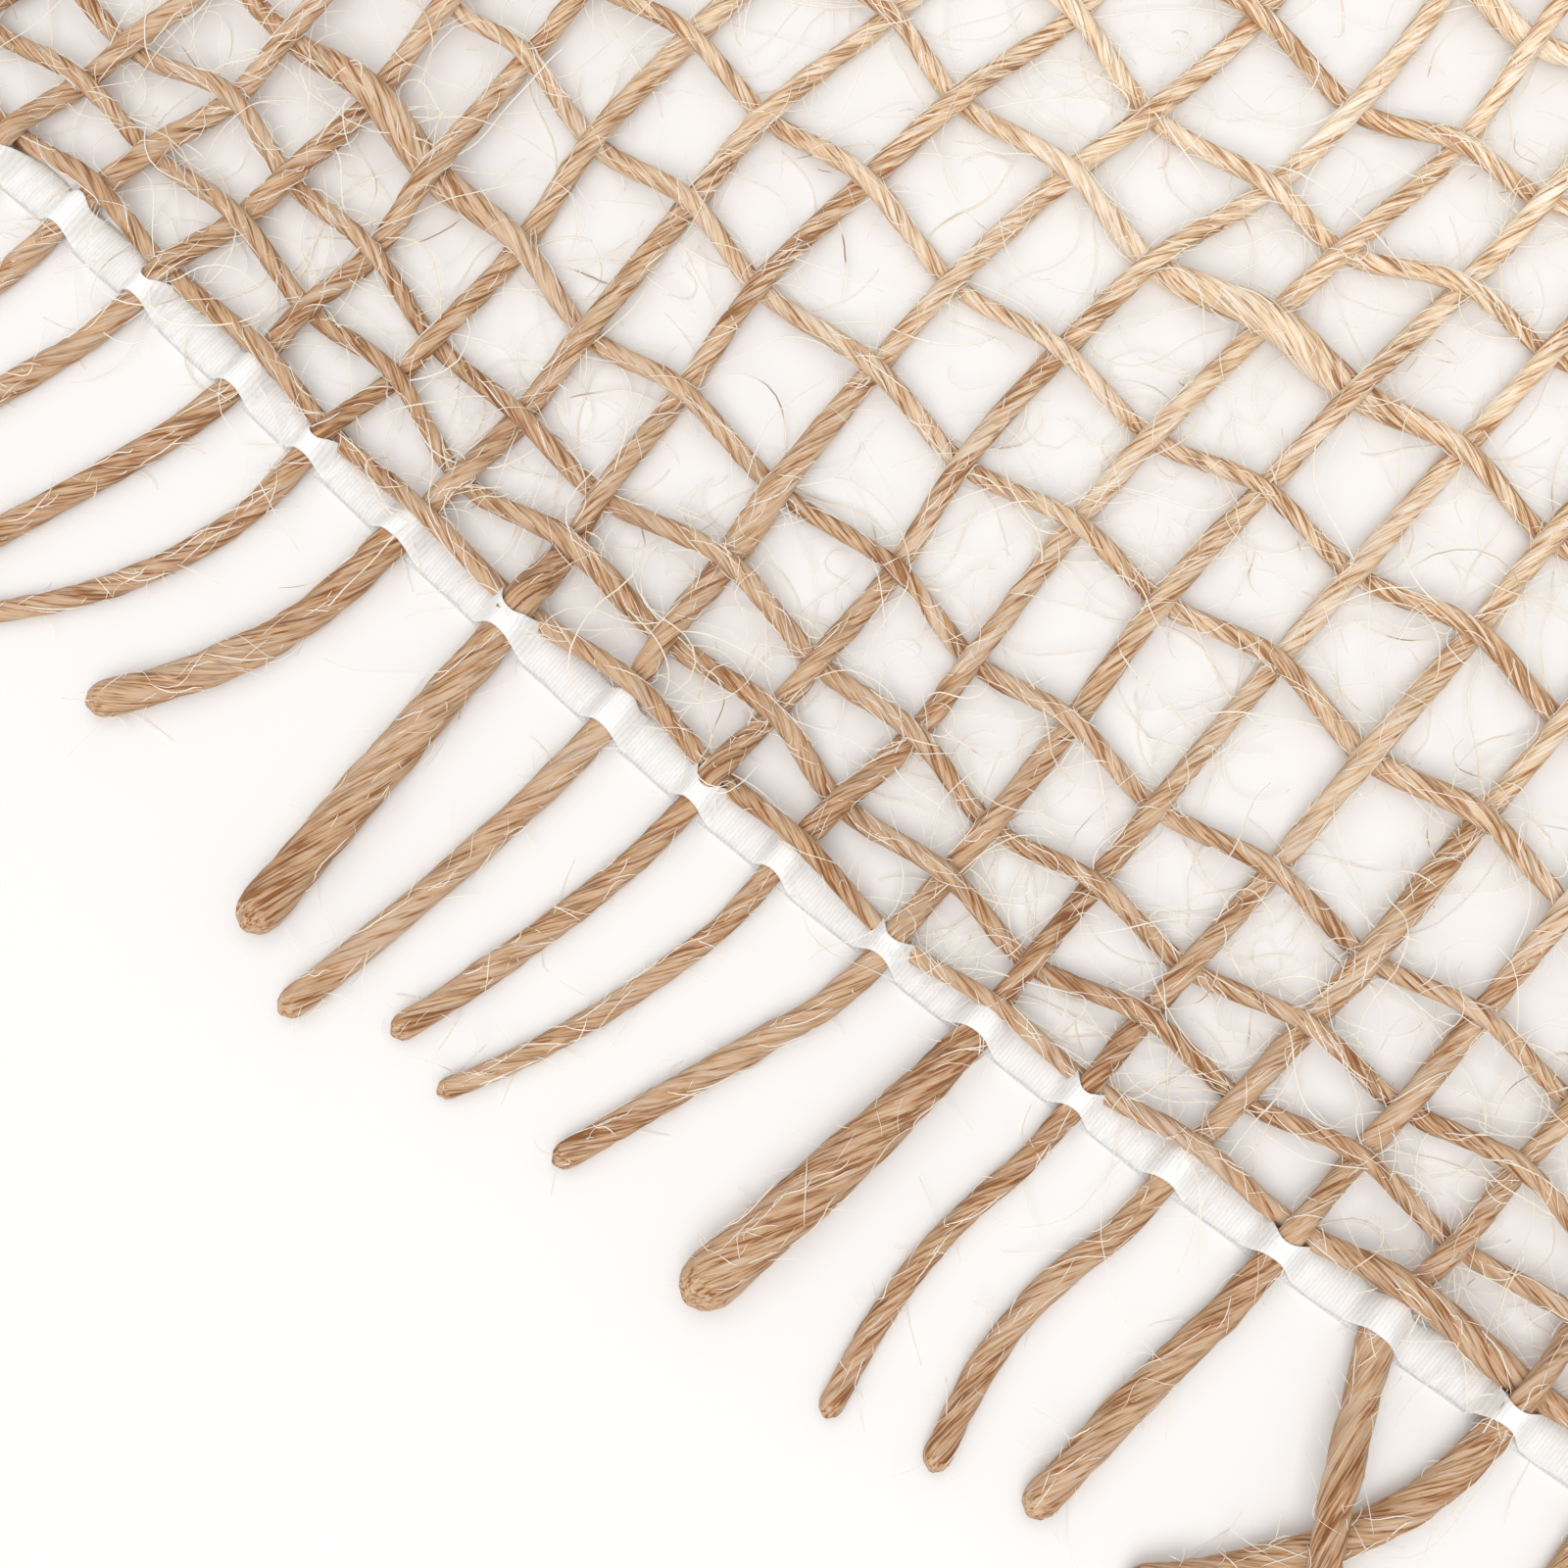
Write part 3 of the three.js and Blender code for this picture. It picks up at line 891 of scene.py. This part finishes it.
# %% [markdown]
# ## The hem stitching
#
# The overlock stitches close up into one smooth band. Half of it lies flat under the yarns. The other
# half lies on top, and narrows where it goes over a warp yarn and grips it, so a loose end seems to
# grow out of the band. Separate loops of thread would look like a ladder at this size, so both halves
# are thin slabs, and the slanting stitches are only a low relief on the upper one. First, how high the
# thread must go to pass over the yarns, which is measured from the yarns made above.

# %% How the thread lies over the yarns
BAND_WIDTH = 4.2  # mm
END_ROOM = 1.2  # mm between each end of a band and the selvedge
STITCH = 1.3  # mm from one slanting stitch to the next
THREAD_OVER = 0.16  # mm of thread on top of a yarn
LOBE_ROOM = 1.13  # how far a yarn's lobes reach, as a share of its radius
SLOPE_ROOM = 0.75  # mm beside a yarn where the thread comes down again
GRIP_ROOM = 0.55  # mm beside a yarn where its strip widens to the whole band
GRIP = (0.5, 2.1)  # the strip that covers a warp yarn, as mm in from the outer edge


def yarn_at(i, y):
    """A warp yarn's X, height, radius and upright half thickness where it passes Y."""
    _, line, radius = warps[i]
    line_x, line_y, line_z = line.T
    middle, height, width = [np.interp(y, line_y, value) for value in (line_x, line_z, radius)]
    near = 0.4  # mm to each side, over which the slope is measured
    steep = (np.interp(y + near, line_y, line_z) - np.interp(y - near, line_y, line_z)) / (2 * near)
    return middle, height, width, width * np.sqrt(1 + steep**2)


def cover(x, y):
    """How high thread must rise at each place to pass over the warp yarns."""
    rise = np.zeros_like(x)
    for i in range(warp_count):
        middle, height, radius, tall = yarn_at(i, y)
        away = np.abs(x - middle)
        top = height + tall * LOBE_ROOM + THREAD_OVER
        rise = np.maximum(rise, top * np.exp(-((away / (radius + SLOPE_ROOM)) ** 3)))
    return rise


def nearness(x, chosen):
    """One beside the chosen warp yarns, and none between them."""
    near = np.zeros_like(x)
    for i in np.flatnonzero(chosen):
        reach = end_widths(i)[0] / 2 + GRIP_ROOM
        near = np.maximum(near, np.exp(-((np.abs(x - hem_x[i]) / reach) ** 2.6)))
    return near


across_front = np.linspace(-half_width, half_width, 800)
highest = cover(across_front, np.full(800, front_edge + ROOT)).max()
print("the thread rises to", round(float(highest), 2), "mm over the table")

# %% [markdown]
# The upper half's shape is a formula for its two edges and its height. A low seam, a small wobble and a
# soft pillow shape keep it from looking cut from sheet, and where a warp yarn passes, the height is that
# of the thread over it.

# %% The shape of the upper half
SET_BACK = 0.14  # mm that this half's outer edge lies inside the lower half's
PILLOW = 0.42  # mm that its middle rises over its edges
SEAM_PLACE, SEAM_WIDTH, SEAM_DEPTH = 0.36, 0.05, 0.05  # two shares of the way across, and mm


def top_half(x, share, edge, inward, row):
    """A place on the upper half of the stitching, at a share of the way across: its Y and its height."""
    near = nearness(x, np.ones(warp_count))
    under = nearness(x, over[:, row] < 0)
    wobble = 0.06 * np.sin(x / 1.9) + 0.04 * np.sin(x / 0.83 + 1)
    outer_side = SET_BACK + (GRIP[0] - SET_BACK) * near + wobble
    plain_side = BAND_WIDTH - 0.1
    inner_side = plain_side - (plain_side - GRIP[1]) * near * (1 - under) + 0.06 * np.sin(x / 2.3)
    y = edge + end_bow(x, edge) + inward * (outer_side + share * (inner_side - outer_side))
    pillow = np.sin(np.clip(share, 0.001, 0.999) * math.pi) ** 0.5
    seam = SEAM_DEPTH * np.exp(-(((share - SEAM_PLACE) / SEAM_WIDTH) ** 2))
    slant = 0.02 * np.sin((x - 0.7 * share) * 2 * math.pi / STITCH) * (1 + np.sin(x / 2.7))
    flat_height = HEM_BASE - 0.22 + PILLOW * pillow - seam + slant
    return y, np.maximum(flat_height, cover(x, y) + 0.12 * pillow)


gripped = FIRST_END + 1  # a warp yarn that the first weft row passes under
between = (hem_x[gripped] + hem_x[gripped + 1]) / 2
for label, place in (("between two yarns", between), ("over a gripped yarn", hem_x[gripped])):
    edges, _ = top_half(np.full(2, place), np.array([0.0, 1.0]), front_edge, 1, 0)
    print("the upper half is", round(float(np.ptp(edges)), 1), "mm wide", label)

# %% [markdown]
# Then the two slabs. Each is a grid of points over the band's length and width, with an upper and a
# lower surface, closed all round. Points lie closer together at the two long edges, where the surface
# turns down. The back hem, which is seen from further off, has longer steps.

# %% Hem bands
HEM_STEPS = (0.3, 0.8)  # mm along the front hem and along the back one
UNDER_POINTS, OVER_POINTS = 7, 12  # across each half
THREAD_THICK = 0.5  # mm, the thickness of the upper half


def slab(strands, x, y, top, bottom):
    """A closed slab between two surfaces, all given as grids over (length, width)."""
    count, wide = x.shape
    upper = np.stack([x, y, top], axis=-1)
    lower = np.stack([x, y, bottom], axis=-1)[:, ::-1]
    loop = np.concatenate([upper, lower], axis=1)
    start = strands.add_points(loop, loop)
    strands.add_sleeve(start, count, 2 * wide)
    for n in range(wide - 1):
        for ring, flip in ((start, 1), (start + (count - 1) * 2 * wide, -1)):
            face = [ring + n, ring + n + 1, ring + 2 * wide - 2 - n, ring + 2 * wide - 1 - n]
            strands.faces.append(face[::flip])


def make_hem(name, edge, inward):
    """The stitching at one end. inward is the direction along Y from the outer edge to the net."""
    strands = Strands()
    row, step = (0, HEM_STEPS[0]) if inward > 0 else (-1, HEM_STEPS[1])
    x = np.arange(END_ROOM - half_width, half_width - END_ROOM, step)
    # the flat half under the yarns
    share = (0.5 - 0.5 * np.cos(np.linspace(0, math.pi, UNDER_POINTS)))[None, :]
    grid = np.repeat(x[:, None], UNDER_POINTS, axis=1)
    from_edge = share * (BAND_WIDTH + 0.1 * np.sin(grid / 3.1)) + 0.05 * np.sin(grid / 1.9) * (1 - share)
    crown = np.broadcast_to(0.08 + (HEM_BASE - 0.14) * np.sin(share * math.pi) ** 0.35, grid.shape)
    y = edge + end_bow(grid, edge) + inward * from_edge
    slab(strands, grid, y, crown, np.full_like(grid, 0.02))
    # the half over the yarns
    share = (0.5 - 0.5 * np.cos(np.linspace(0, math.pi, OVER_POINTS)))[None, :]
    grid = np.repeat(x[:, None], OVER_POINTS, axis=1)
    y, height = top_half(grid, np.broadcast_to(share, grid.shape), edge, inward, row)
    slab(strands, grid, y, height, np.maximum(height - THREAD_THICK, 0.05))
    piece = strands.piece(name + "_thread", white_thread)
    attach(piece, "root")
    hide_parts(name)
    print(name, "has", len(piece.data.polygons), "faces")
    return piece


hems = [make_hem("hem_stitching_front", front_edge, 1), make_hem("hem_stitching_back", back_edge, -1)]

# %% [markdown]
# ## Loose fibres
#
# Jute sheds. Pale single fibres stand off every yarn, lie across the open cells in curls and loops, and
# wrap loosely round the fringe. They are what makes jute look like jute close up. A single fibre lets
# light through, so it looks paler than the yarn: a translucent part and a faint painted glow, an
# emission that stands in for the light coming through, give that without many bounces of light. A few
# fibres are brown, from the bark.

# %% The single fibres' material
def fibre_material(name, pale, straw, brown):
    """Single jute fibres: pale and a little translucent, with a faint painted glow, a few of them brown."""
    material = new_material(name)
    bundle = add_node(material, "ShaderNodeAttribute", {"attribute_name": "bundle"}).outputs["Vector"]
    apart = add_node(material, "ShaderNodeTexNoise", None, {"Vector": bundle, "Scale": 0.35, "Detail": 1.0})
    colours = add_node(material, "ShaderNodeValToRGB", None, {"Fac": apart.outputs["Fac"]})
    set_ramp(colours, [(0.27, brown), (0.33, straw), (0.46, pale), (0.72, pale)])
    bump = add_node(material, "ShaderNodeBump", None,
                    {"Height": apart.outputs["Fac"], "Strength": 0.2, "Distance": 0.00002})
    shader = add_node(material, "ShaderNodeBsdfPrincipled", None, {
        "Base Color": colours.outputs["Color"], "Roughness": 0.5, "Normal": bump.outputs["Normal"],
        "Specular IOR Level": 0.4, "Sheen Weight": 0.2,
        # painted glow: the fibres give off a little cream light, standing in for light that comes through
        # them
        "Emission Color": linear("#FFF8EC"), "Emission Strength": 0.2,
    })
    through = add_node(material, "ShaderNodeBsdfTranslucent", None, {"Color": colours.outputs["Color"]})
    mixed = add_node(material, "ShaderNodeMixShader", None, {0: 0.45})
    material.node_tree.links.new(shader.outputs["BSDF"], mixed.inputs[1])
    material.node_tree.links.new(through.outputs["BSDF"], mixed.inputs[2])
    add_node(material, "ShaderNodeOutputMaterial", None, {"Surface": mixed.outputs["Shader"]})
    return material


loose_fibre = fibre_material("single_jute_fibre", "#FEFBF4", "#FAEFDD", "#B8946C")
print("material", loose_fibre.name, "with", len(loose_fibre.node_tree.nodes), "nodes")

# %% [markdown]
# Hair curves would be the quick way to make them, but curves aren't kept in an exported model, so each
# fibre is a real three-sided tube, thinner than a fifth of a millimetre and drawn in at both ends. All
# the fibres of one kind have as many points, so one set of arrays builds thousands of them at once.

# %% Fibres into a mesh
def fibre_mesh(name, paths, thinnest, thickest):
    """One piece from many fibres. paths is (count, points, 3), and the radii are drawn at random."""
    count, steps = paths.shape[:2]
    thickness = rng.uniform(thinnest, thickest, count)
    along = np.gradient(paths, axis=1)
    along /= np.maximum(np.linalg.norm(along, axis=2, keepdims=True), 1e-9)
    side = np.cross(along, [0.11, 0.07, 0.99])
    side /= np.maximum(np.linalg.norm(side, axis=2, keepdims=True), 1e-9)
    up = np.cross(side, along)
    t = np.linspace(-1, 1, steps)
    taper = thickness[:, None] * (1 - 0.6 * t[None, :] ** 6)
    corners = []
    for k in range(3):
        angle = k * 2 * math.pi / 3
        offset = math.cos(angle) * side + math.sin(angle) * up
        corners.append(paths + taper[..., None] * offset)
    points = np.stack(corners, axis=2)
    bundle = np.zeros_like(points)
    bundle[..., 0] = (np.arange(count) * 17.3)[:, None, None]
    bundle[..., 1] = np.linspace(0, 4, steps)[None, :, None]
    strands = Strands()
    start = strands.add_points(points, bundle)
    first = start + (np.arange(count) * steps * 3)[:, None, None]
    ring = first + (np.arange(steps - 1) * 3)[None, :, None]
    corner = np.arange(3)[None, None, :]
    after = (corner + 1) % 3
    quads = np.stack([ring + corner, ring + after, ring + 3 + after, ring + 3 + corner], axis=-1)
    strands.faces.extend(quads.reshape(-1, 4).tolist())
    caps = first[:, 0, 0]
    strands.faces.extend(np.stack([caps, caps + 2, caps + 1], axis=1).tolist())
    last = caps + (steps - 1) * 3
    strands.faces.extend(np.stack([last, last + 1, last + 2], axis=1).tolist())
    piece = strands.piece(name, loose_fibre)
    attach(piece, "root")
    print(name, "has", count, "fibres and", len(piece.data.polygons), "faces")
    return piece


def yarn_places(low_y, high_y):
    """Each step of each yarn between two Y values: its point, its direction, two axes and radius."""
    found = []
    for line, radius in [(w[1], w[2]) for w in warps] + [(weft_line, weft_width)]:
        along, side, up = axes_across(line)
        keep = (line[:, 1] > low_y) & (line[:, 1] < high_y)
        found.append(np.hstack([line, along, side, up, radius[:, None]])[keep])
    return np.vstack(found)


print("the whole weave has", len(yarn_places(front_edge, back_edge)), "steps for a fibre to start from")

# %% [markdown]
# Three kinds of fibre make up the fuzz. The first leave a yarn and wander over the table, alone or in
# tangles that share a place. Such a fibre is drawn step by step, like a walk with a heading that drifts,
# because a kinked fibre bends a little everywhere. All fibres are drawn with random numbers from one
# seeded source, so they come out the same each time.

# %% Wandering fibres
LOWEST = 0.2  # mm over the table, for the middle of a wandering fibre
TANGLE_SPREAD = 1.8  # mm that the fibres of one tangle start from its middle


def wandering(places, count, steps, reach, curl, lift, tangles=0):
    """Fibres that leave a yarn and wander over the table, with random bends, alone or in tangles."""
    chosen = places[rng.integers(0, len(places), count)]
    if tangles:
        chosen = places[rng.integers(0, len(places), tangles)][rng.integers(0, tangles, count)]
        spread = rng.normal(0, TANGLE_SPREAD, (count, 2))
        chosen = chosen + np.pad(spread, ((0, 0), (0, chosen.shape[1] - 2)))
    length = rng.uniform(reach[0], reach[1], count) * rng.uniform(0.5, 1, count)
    heading = rng.uniform(0, 2 * math.pi, count)
    kinks = rng.normal(0, curl, (count, steps)).cumsum(axis=1) * 0.55
    bend = rng.normal(0, curl * 0.6, count)[:, None] + kinks - kinks.mean(axis=1, keepdims=True)
    step = (length / (steps - 1))[:, None]
    angle = heading[:, None] + np.cumsum(bend * step, axis=1)
    x = np.cumsum(np.cos(angle) * step, axis=1) + chosen[:, 0:1]
    y = np.cumsum(np.sin(angle) * step, axis=1) + chosen[:, 1:2]
    t = np.linspace(0, 1, steps)[None, :]
    rise = rng.normal(0, lift, count)[:, None] * np.sin(t * math.pi * rng.uniform(0.6, 1.6, count)[:, None])
    z = np.maximum(chosen[:, 2:3] + rise, LOWEST)
    return np.stack([x, y, z], axis=2)


print("a wandering fibre's middle stays at least", LOWEST, "mm over the table")

# %% [markdown]
# The second kind stand off a yarn's surface and lean along it, as a brushed yarn's do. The third lie on
# a yarn and wind loosely round it at their own slant, which breaks up the even twist. Both are placed
# by the yarn's own direction and sides at that step, so they follow it wherever it goes.

# %% Standing and wrapped fibres
TOUCHING = 0.12  # mm over the table, for the middle of a fibre on a yarn


def bristling(places, count, steps, reach):
    """Short fibres that stand off a yarn's surface, leaning along it."""
    chosen = places[rng.integers(0, len(places), count)]
    place, along, side, up, radius = np.split(chosen, [3, 6, 9, 12], axis=1)
    angle = rng.uniform(-0.6, math.pi + 0.6, count)[:, None]
    outward = np.cos(angle) * side + np.sin(angle) * up
    lean = rng.choice([-1.0, 1.0], count)[:, None] * rng.uniform(0.5, 1.6, count)[:, None]
    way = outward + lean * along
    way /= np.linalg.norm(way, axis=1, keepdims=True)
    length = rng.uniform(reach[0], reach[1], count)[:, None, None]
    t = np.linspace(0, 1, steps)[None, :, None]
    sideways = rng.normal(0, 0.35, (count, 3))[:, None, :]
    start = place + outward * radius * 0.9
    path = start[:, None, :] + way[:, None, :] * t * length + sideways * length * t * t
    path[..., 2] = np.maximum(path[..., 2], TOUCHING)
    return path


def wrapping(line, radius, count, steps, reach):
    """Fibres that lie on one yarn and wind loosely round it, at any angle to the twist."""
    along, side, up = axes_across(line)
    run = length_along(line)
    length = rng.uniform(reach[0], reach[1], count)
    start = rng.uniform(1, run[-1] - reach[1] - 1, count)
    slant = np.where(rng.random(count) < 0.6, rng.uniform(-0.6, 0.2, count), rng.uniform(-1.2, 1.2, count))
    t = np.linspace(0, 1, steps)[None, :]
    where = start[:, None] + t * (length * np.cos(slant))[:, None]
    width = np.interp(where, run, radius)
    # the fibre sways about its slant, and its two ends stand off the yarn a little
    wave = rng.normal(0, 0.25, count)[:, None] * np.sin(t * 5 + start[:, None])
    first_angle = rng.uniform(0.2, math.pi - 0.2, count)[:, None]
    angle = first_angle + (length * np.sin(slant))[:, None] * (t - 0.5) / width + wave
    off = width * 1.05 + 0.25 * (2 * t - 1) ** 8
    place = np.stack([np.interp(where, run, line[:, k]) for k in range(3)], axis=-1)
    sides = np.stack([np.interp(where, run, side[:, k]) for k in range(3)], axis=-1)
    ups = np.stack([np.interp(where, run, up[:, k]) for k in range(3)], axis=-1)
    path = place + (off * np.cos(angle))[..., None] * sides + (off * np.sin(angle))[..., None] * ups
    path[..., 2] = np.maximum(path[..., 2], TOUCHING)
    return path


print("a standing or wrapped fibre's middle stays at least", TOUCHING, "mm over the table")

# %% [markdown]
# Most fibres are near the front end, where one looks closely. The wandering ones start in the net and
# not on the fringe, which is handled and has lost its loose fibres. The rest of the runner gets only a
# light scatter of them, with fewer points each.

# %% The fuzz
FRINGE_REACH = 34  # mm past the hem, about as far as the fringe goes
BARE = 4  # mm behind the front edge where no wandering fibre starts
WRAP_LENGTHS = (1.8, 6.0)  # mm
WRAPPED_STEPS = 175  # fine rings of a warp yarn that carry wrapped fibres, from its front tip

near_places = yarn_places(front_edge - FRINGE_REACH, front_edge + CLOSE)
net_places = near_places[near_places[:, 1] > front_edge + BARE]
far_places = yarn_places(front_edge + CLOSE, back_edge + FRINGE_REACH)
long_ones = wandering(net_places, count=2100, steps=14, reach=(9, 26), curl=0.16, lift=1.6)
fibres = [fibre_mesh("loose_fibres_long", long_ones, 0.03, 0.085)]
curly_ones = wandering(net_places, count=1500, steps=14, reach=(5, 13), curl=0.5, lift=1.2, tangles=210)
fibres.append(fibre_mesh("loose_fibres_curly", curly_ones, 0.03, 0.075))
standing_ones = bristling(near_places, count=7300, steps=5, reach=(0.7, 3.8))
fibres.append(fibre_mesh("standing_fibres", standing_ones, 0.02, 0.05))
wrapped = []
for _, line, radius in warps:
    wrapped.append(wrapping(line[:WRAPPED_STEPS], radius[:WRAPPED_STEPS], 70, 7, WRAP_LENGTHS))
wrapped.append(wrapping(weft_line[:fine_end], weft_width[:fine_end], 2000, 7, WRAP_LENGTHS))
fibres.append(fibre_mesh("wrapped_fibres", np.vstack(wrapped), 0.03, 0.075))
far_ones = wandering(far_places, count=3600, steps=7, reach=(6, 18), curl=0.2, lift=1.5)
fibres.append(fibre_mesh("far_fibres", far_ones, 0.03, 0.06))

pieces = [warp[0] for warp in warps] + wefts + hems + fibres
weights = {made.name: sum(len(face.vertices) - 2 for face in made.data.polygons) for made in pieces}
heaviest = max(weights, key=weights.get)
print("the whole runner has", sum(weights.values()), "triangles")
print("its heaviest piece,", heaviest + ", has", weights[heaviest])

# %% [markdown]
# ## The camera
#
# The runner is shown from a little off the top, with the front hem running across the view from
# corner to corner. A fairly long lens keeps the cells of the net nearly the same size from front to
# back. The camera's place is worked out from what it looks at, two angles and a distance.

# %% The camera
LENS, SENSOR = 70, 36  # mm
AZIMUTH, ELEVATION, ROLL = 38.8, 75.6, 1.3  # degrees
DISTANCE = 0.252  # m
AIM = (1.2, 6.8, 2.0)  # mm: X, distance in from the front edge, and height


def look(location, target, roll_degrees):
    """The turn of a camera at a place that looks at another, rolled about its own line of sight."""
    back = (Vector(location) - Vector(target)).normalized()
    right = Vector((0, 0, 1)).cross(back).normalized()
    up = back.cross(right)
    turn = Matrix((right, up, back)).transposed()
    return turn @ Matrix.Rotation(math.radians(roll_degrees), 3, "Z")


camera_data = bpy.data.cameras.new("camera")
camera_data.lens = LENS
camera_data.sensor_width = SENSOR
camera_data.clip_start = 0.01
camera_data.clip_end = 30
camera = bpy.data.objects.new("camera", camera_data)
bpy.context.scene.collection.objects.link(camera)
target = Vector((AIM[0] * MM, (front_edge + AIM[1]) * MM, AIM[2] * MM))
turn, tilt = math.radians(AZIMUTH), math.radians(ELEVATION)
back = Vector((math.sin(turn) * math.cos(tilt), -math.cos(turn) * math.cos(tilt), math.sin(tilt)))
camera.location = target + back * DISTANCE
camera.matrix_world = Matrix.Translation(camera.location) @ look(camera.location, target, ROLL).to_4x4()
bpy.context.scene.camera = camera
print("camera at", [round(v, 3) for v in camera.location], "m")

# %% [markdown]
# ## The table
#
# The runner lies on a matt white board, which only has to be there for the shadows.

# %% The table
TABLE_SIZE = 60  # m

bpy.ops.object.select_all(action="DESELECT")
bpy.ops.mesh.primitive_plane_add(size=TABLE_SIZE, location=(0, 0, 0))
floor = bpy.context.object
floor.name = "floor"
floor_material = new_material("matt_white_board")
floor_shader = add_node(floor_material, "ShaderNodeBsdfPrincipled", None,
                        {"Base Color": linear("#EDECEB"), "Roughness": 0.9, "Specular IOR Level": 0.2})
add_node(floor_material, "ShaderNodeOutputMaterial", None, {"Surface": floor_shader.outputs["BSDF"]})
floor.data.materials.append(floor_material)
print(floor.name, "is", round(floor.dimensions.x), "m wide")

# %% [markdown]
# ## The light
#
# Soft daylight from a large window would show the fibres best: bright all round, with shadows that are
# there but have no hard edge. A white surround gives the first, and two large square lights give the
# second. One stands in front of the runner and one hangs higher, over the net.

# %% The light
SURROUND = 0.66  # strength of the white all round


def area_light(name, location, towards, size, power):
    """A square light at a place, aimed at another. Places and size are in metres, power in watts."""
    data = bpy.data.lights.new(name, "AREA")
    data.shape = "SQUARE"
    data.size = size
    data.energy = power
    lamp = bpy.data.objects.new(name, data)
    bpy.context.scene.collection.objects.link(lamp)
    lamp.location = location
    direction = Vector(towards) - Vector(location)
    lamp.rotation_euler = direction.to_track_quat("-Z", "Y").to_euler()
    return lamp


lamps = [
    area_light("key_softbox", (0.5, -2.0, 1.9), (0, -0.7, 0), size=1.4, power=27),
    area_light("top_softbox", (-0.6, -0.4, 2.6), (0, -0.5, 0), size=2.4, power=12),
]
world = bpy.data.worlds.new("white_surround")
bpy.context.scene.world = world
world.use_nodes = True
surround = world.node_tree.nodes["Background"]
surround.inputs["Color"].default_value = (1, 1, 1, 1)
surround.inputs["Strength"].default_value = SURROUND
bpy.context.scene.view_settings.view_transform = "Standard"
print("lights:", [lamp.name for lamp in lamps])

# %% [markdown]
# ## The length of the net
#
# The three pieces of the weft, with the warp yarns between them, are one soft sheet that lies flat. For
# each piece, the length of the net that it stands for is printed.

# %% Sizes, and the end
width = 2 * half_width * MM
for piece, first, last, others in (
    (weft_front, 0, FINE_ROWS - 1, [warp[0] for warp in warps] + [hems[0]] + fibres[:-1]),
    (weft_middle, FINE_ROWS, half_row, [fibres[-1]]),
    (weft_back, half_row + 1, row_count - 1, [hems[1]]),
):
    length = (row_y[last] - row_y[first] + row_pitch) * MM
    print(piece.name, "stands for", round(length / MM), "mm of the net's length")
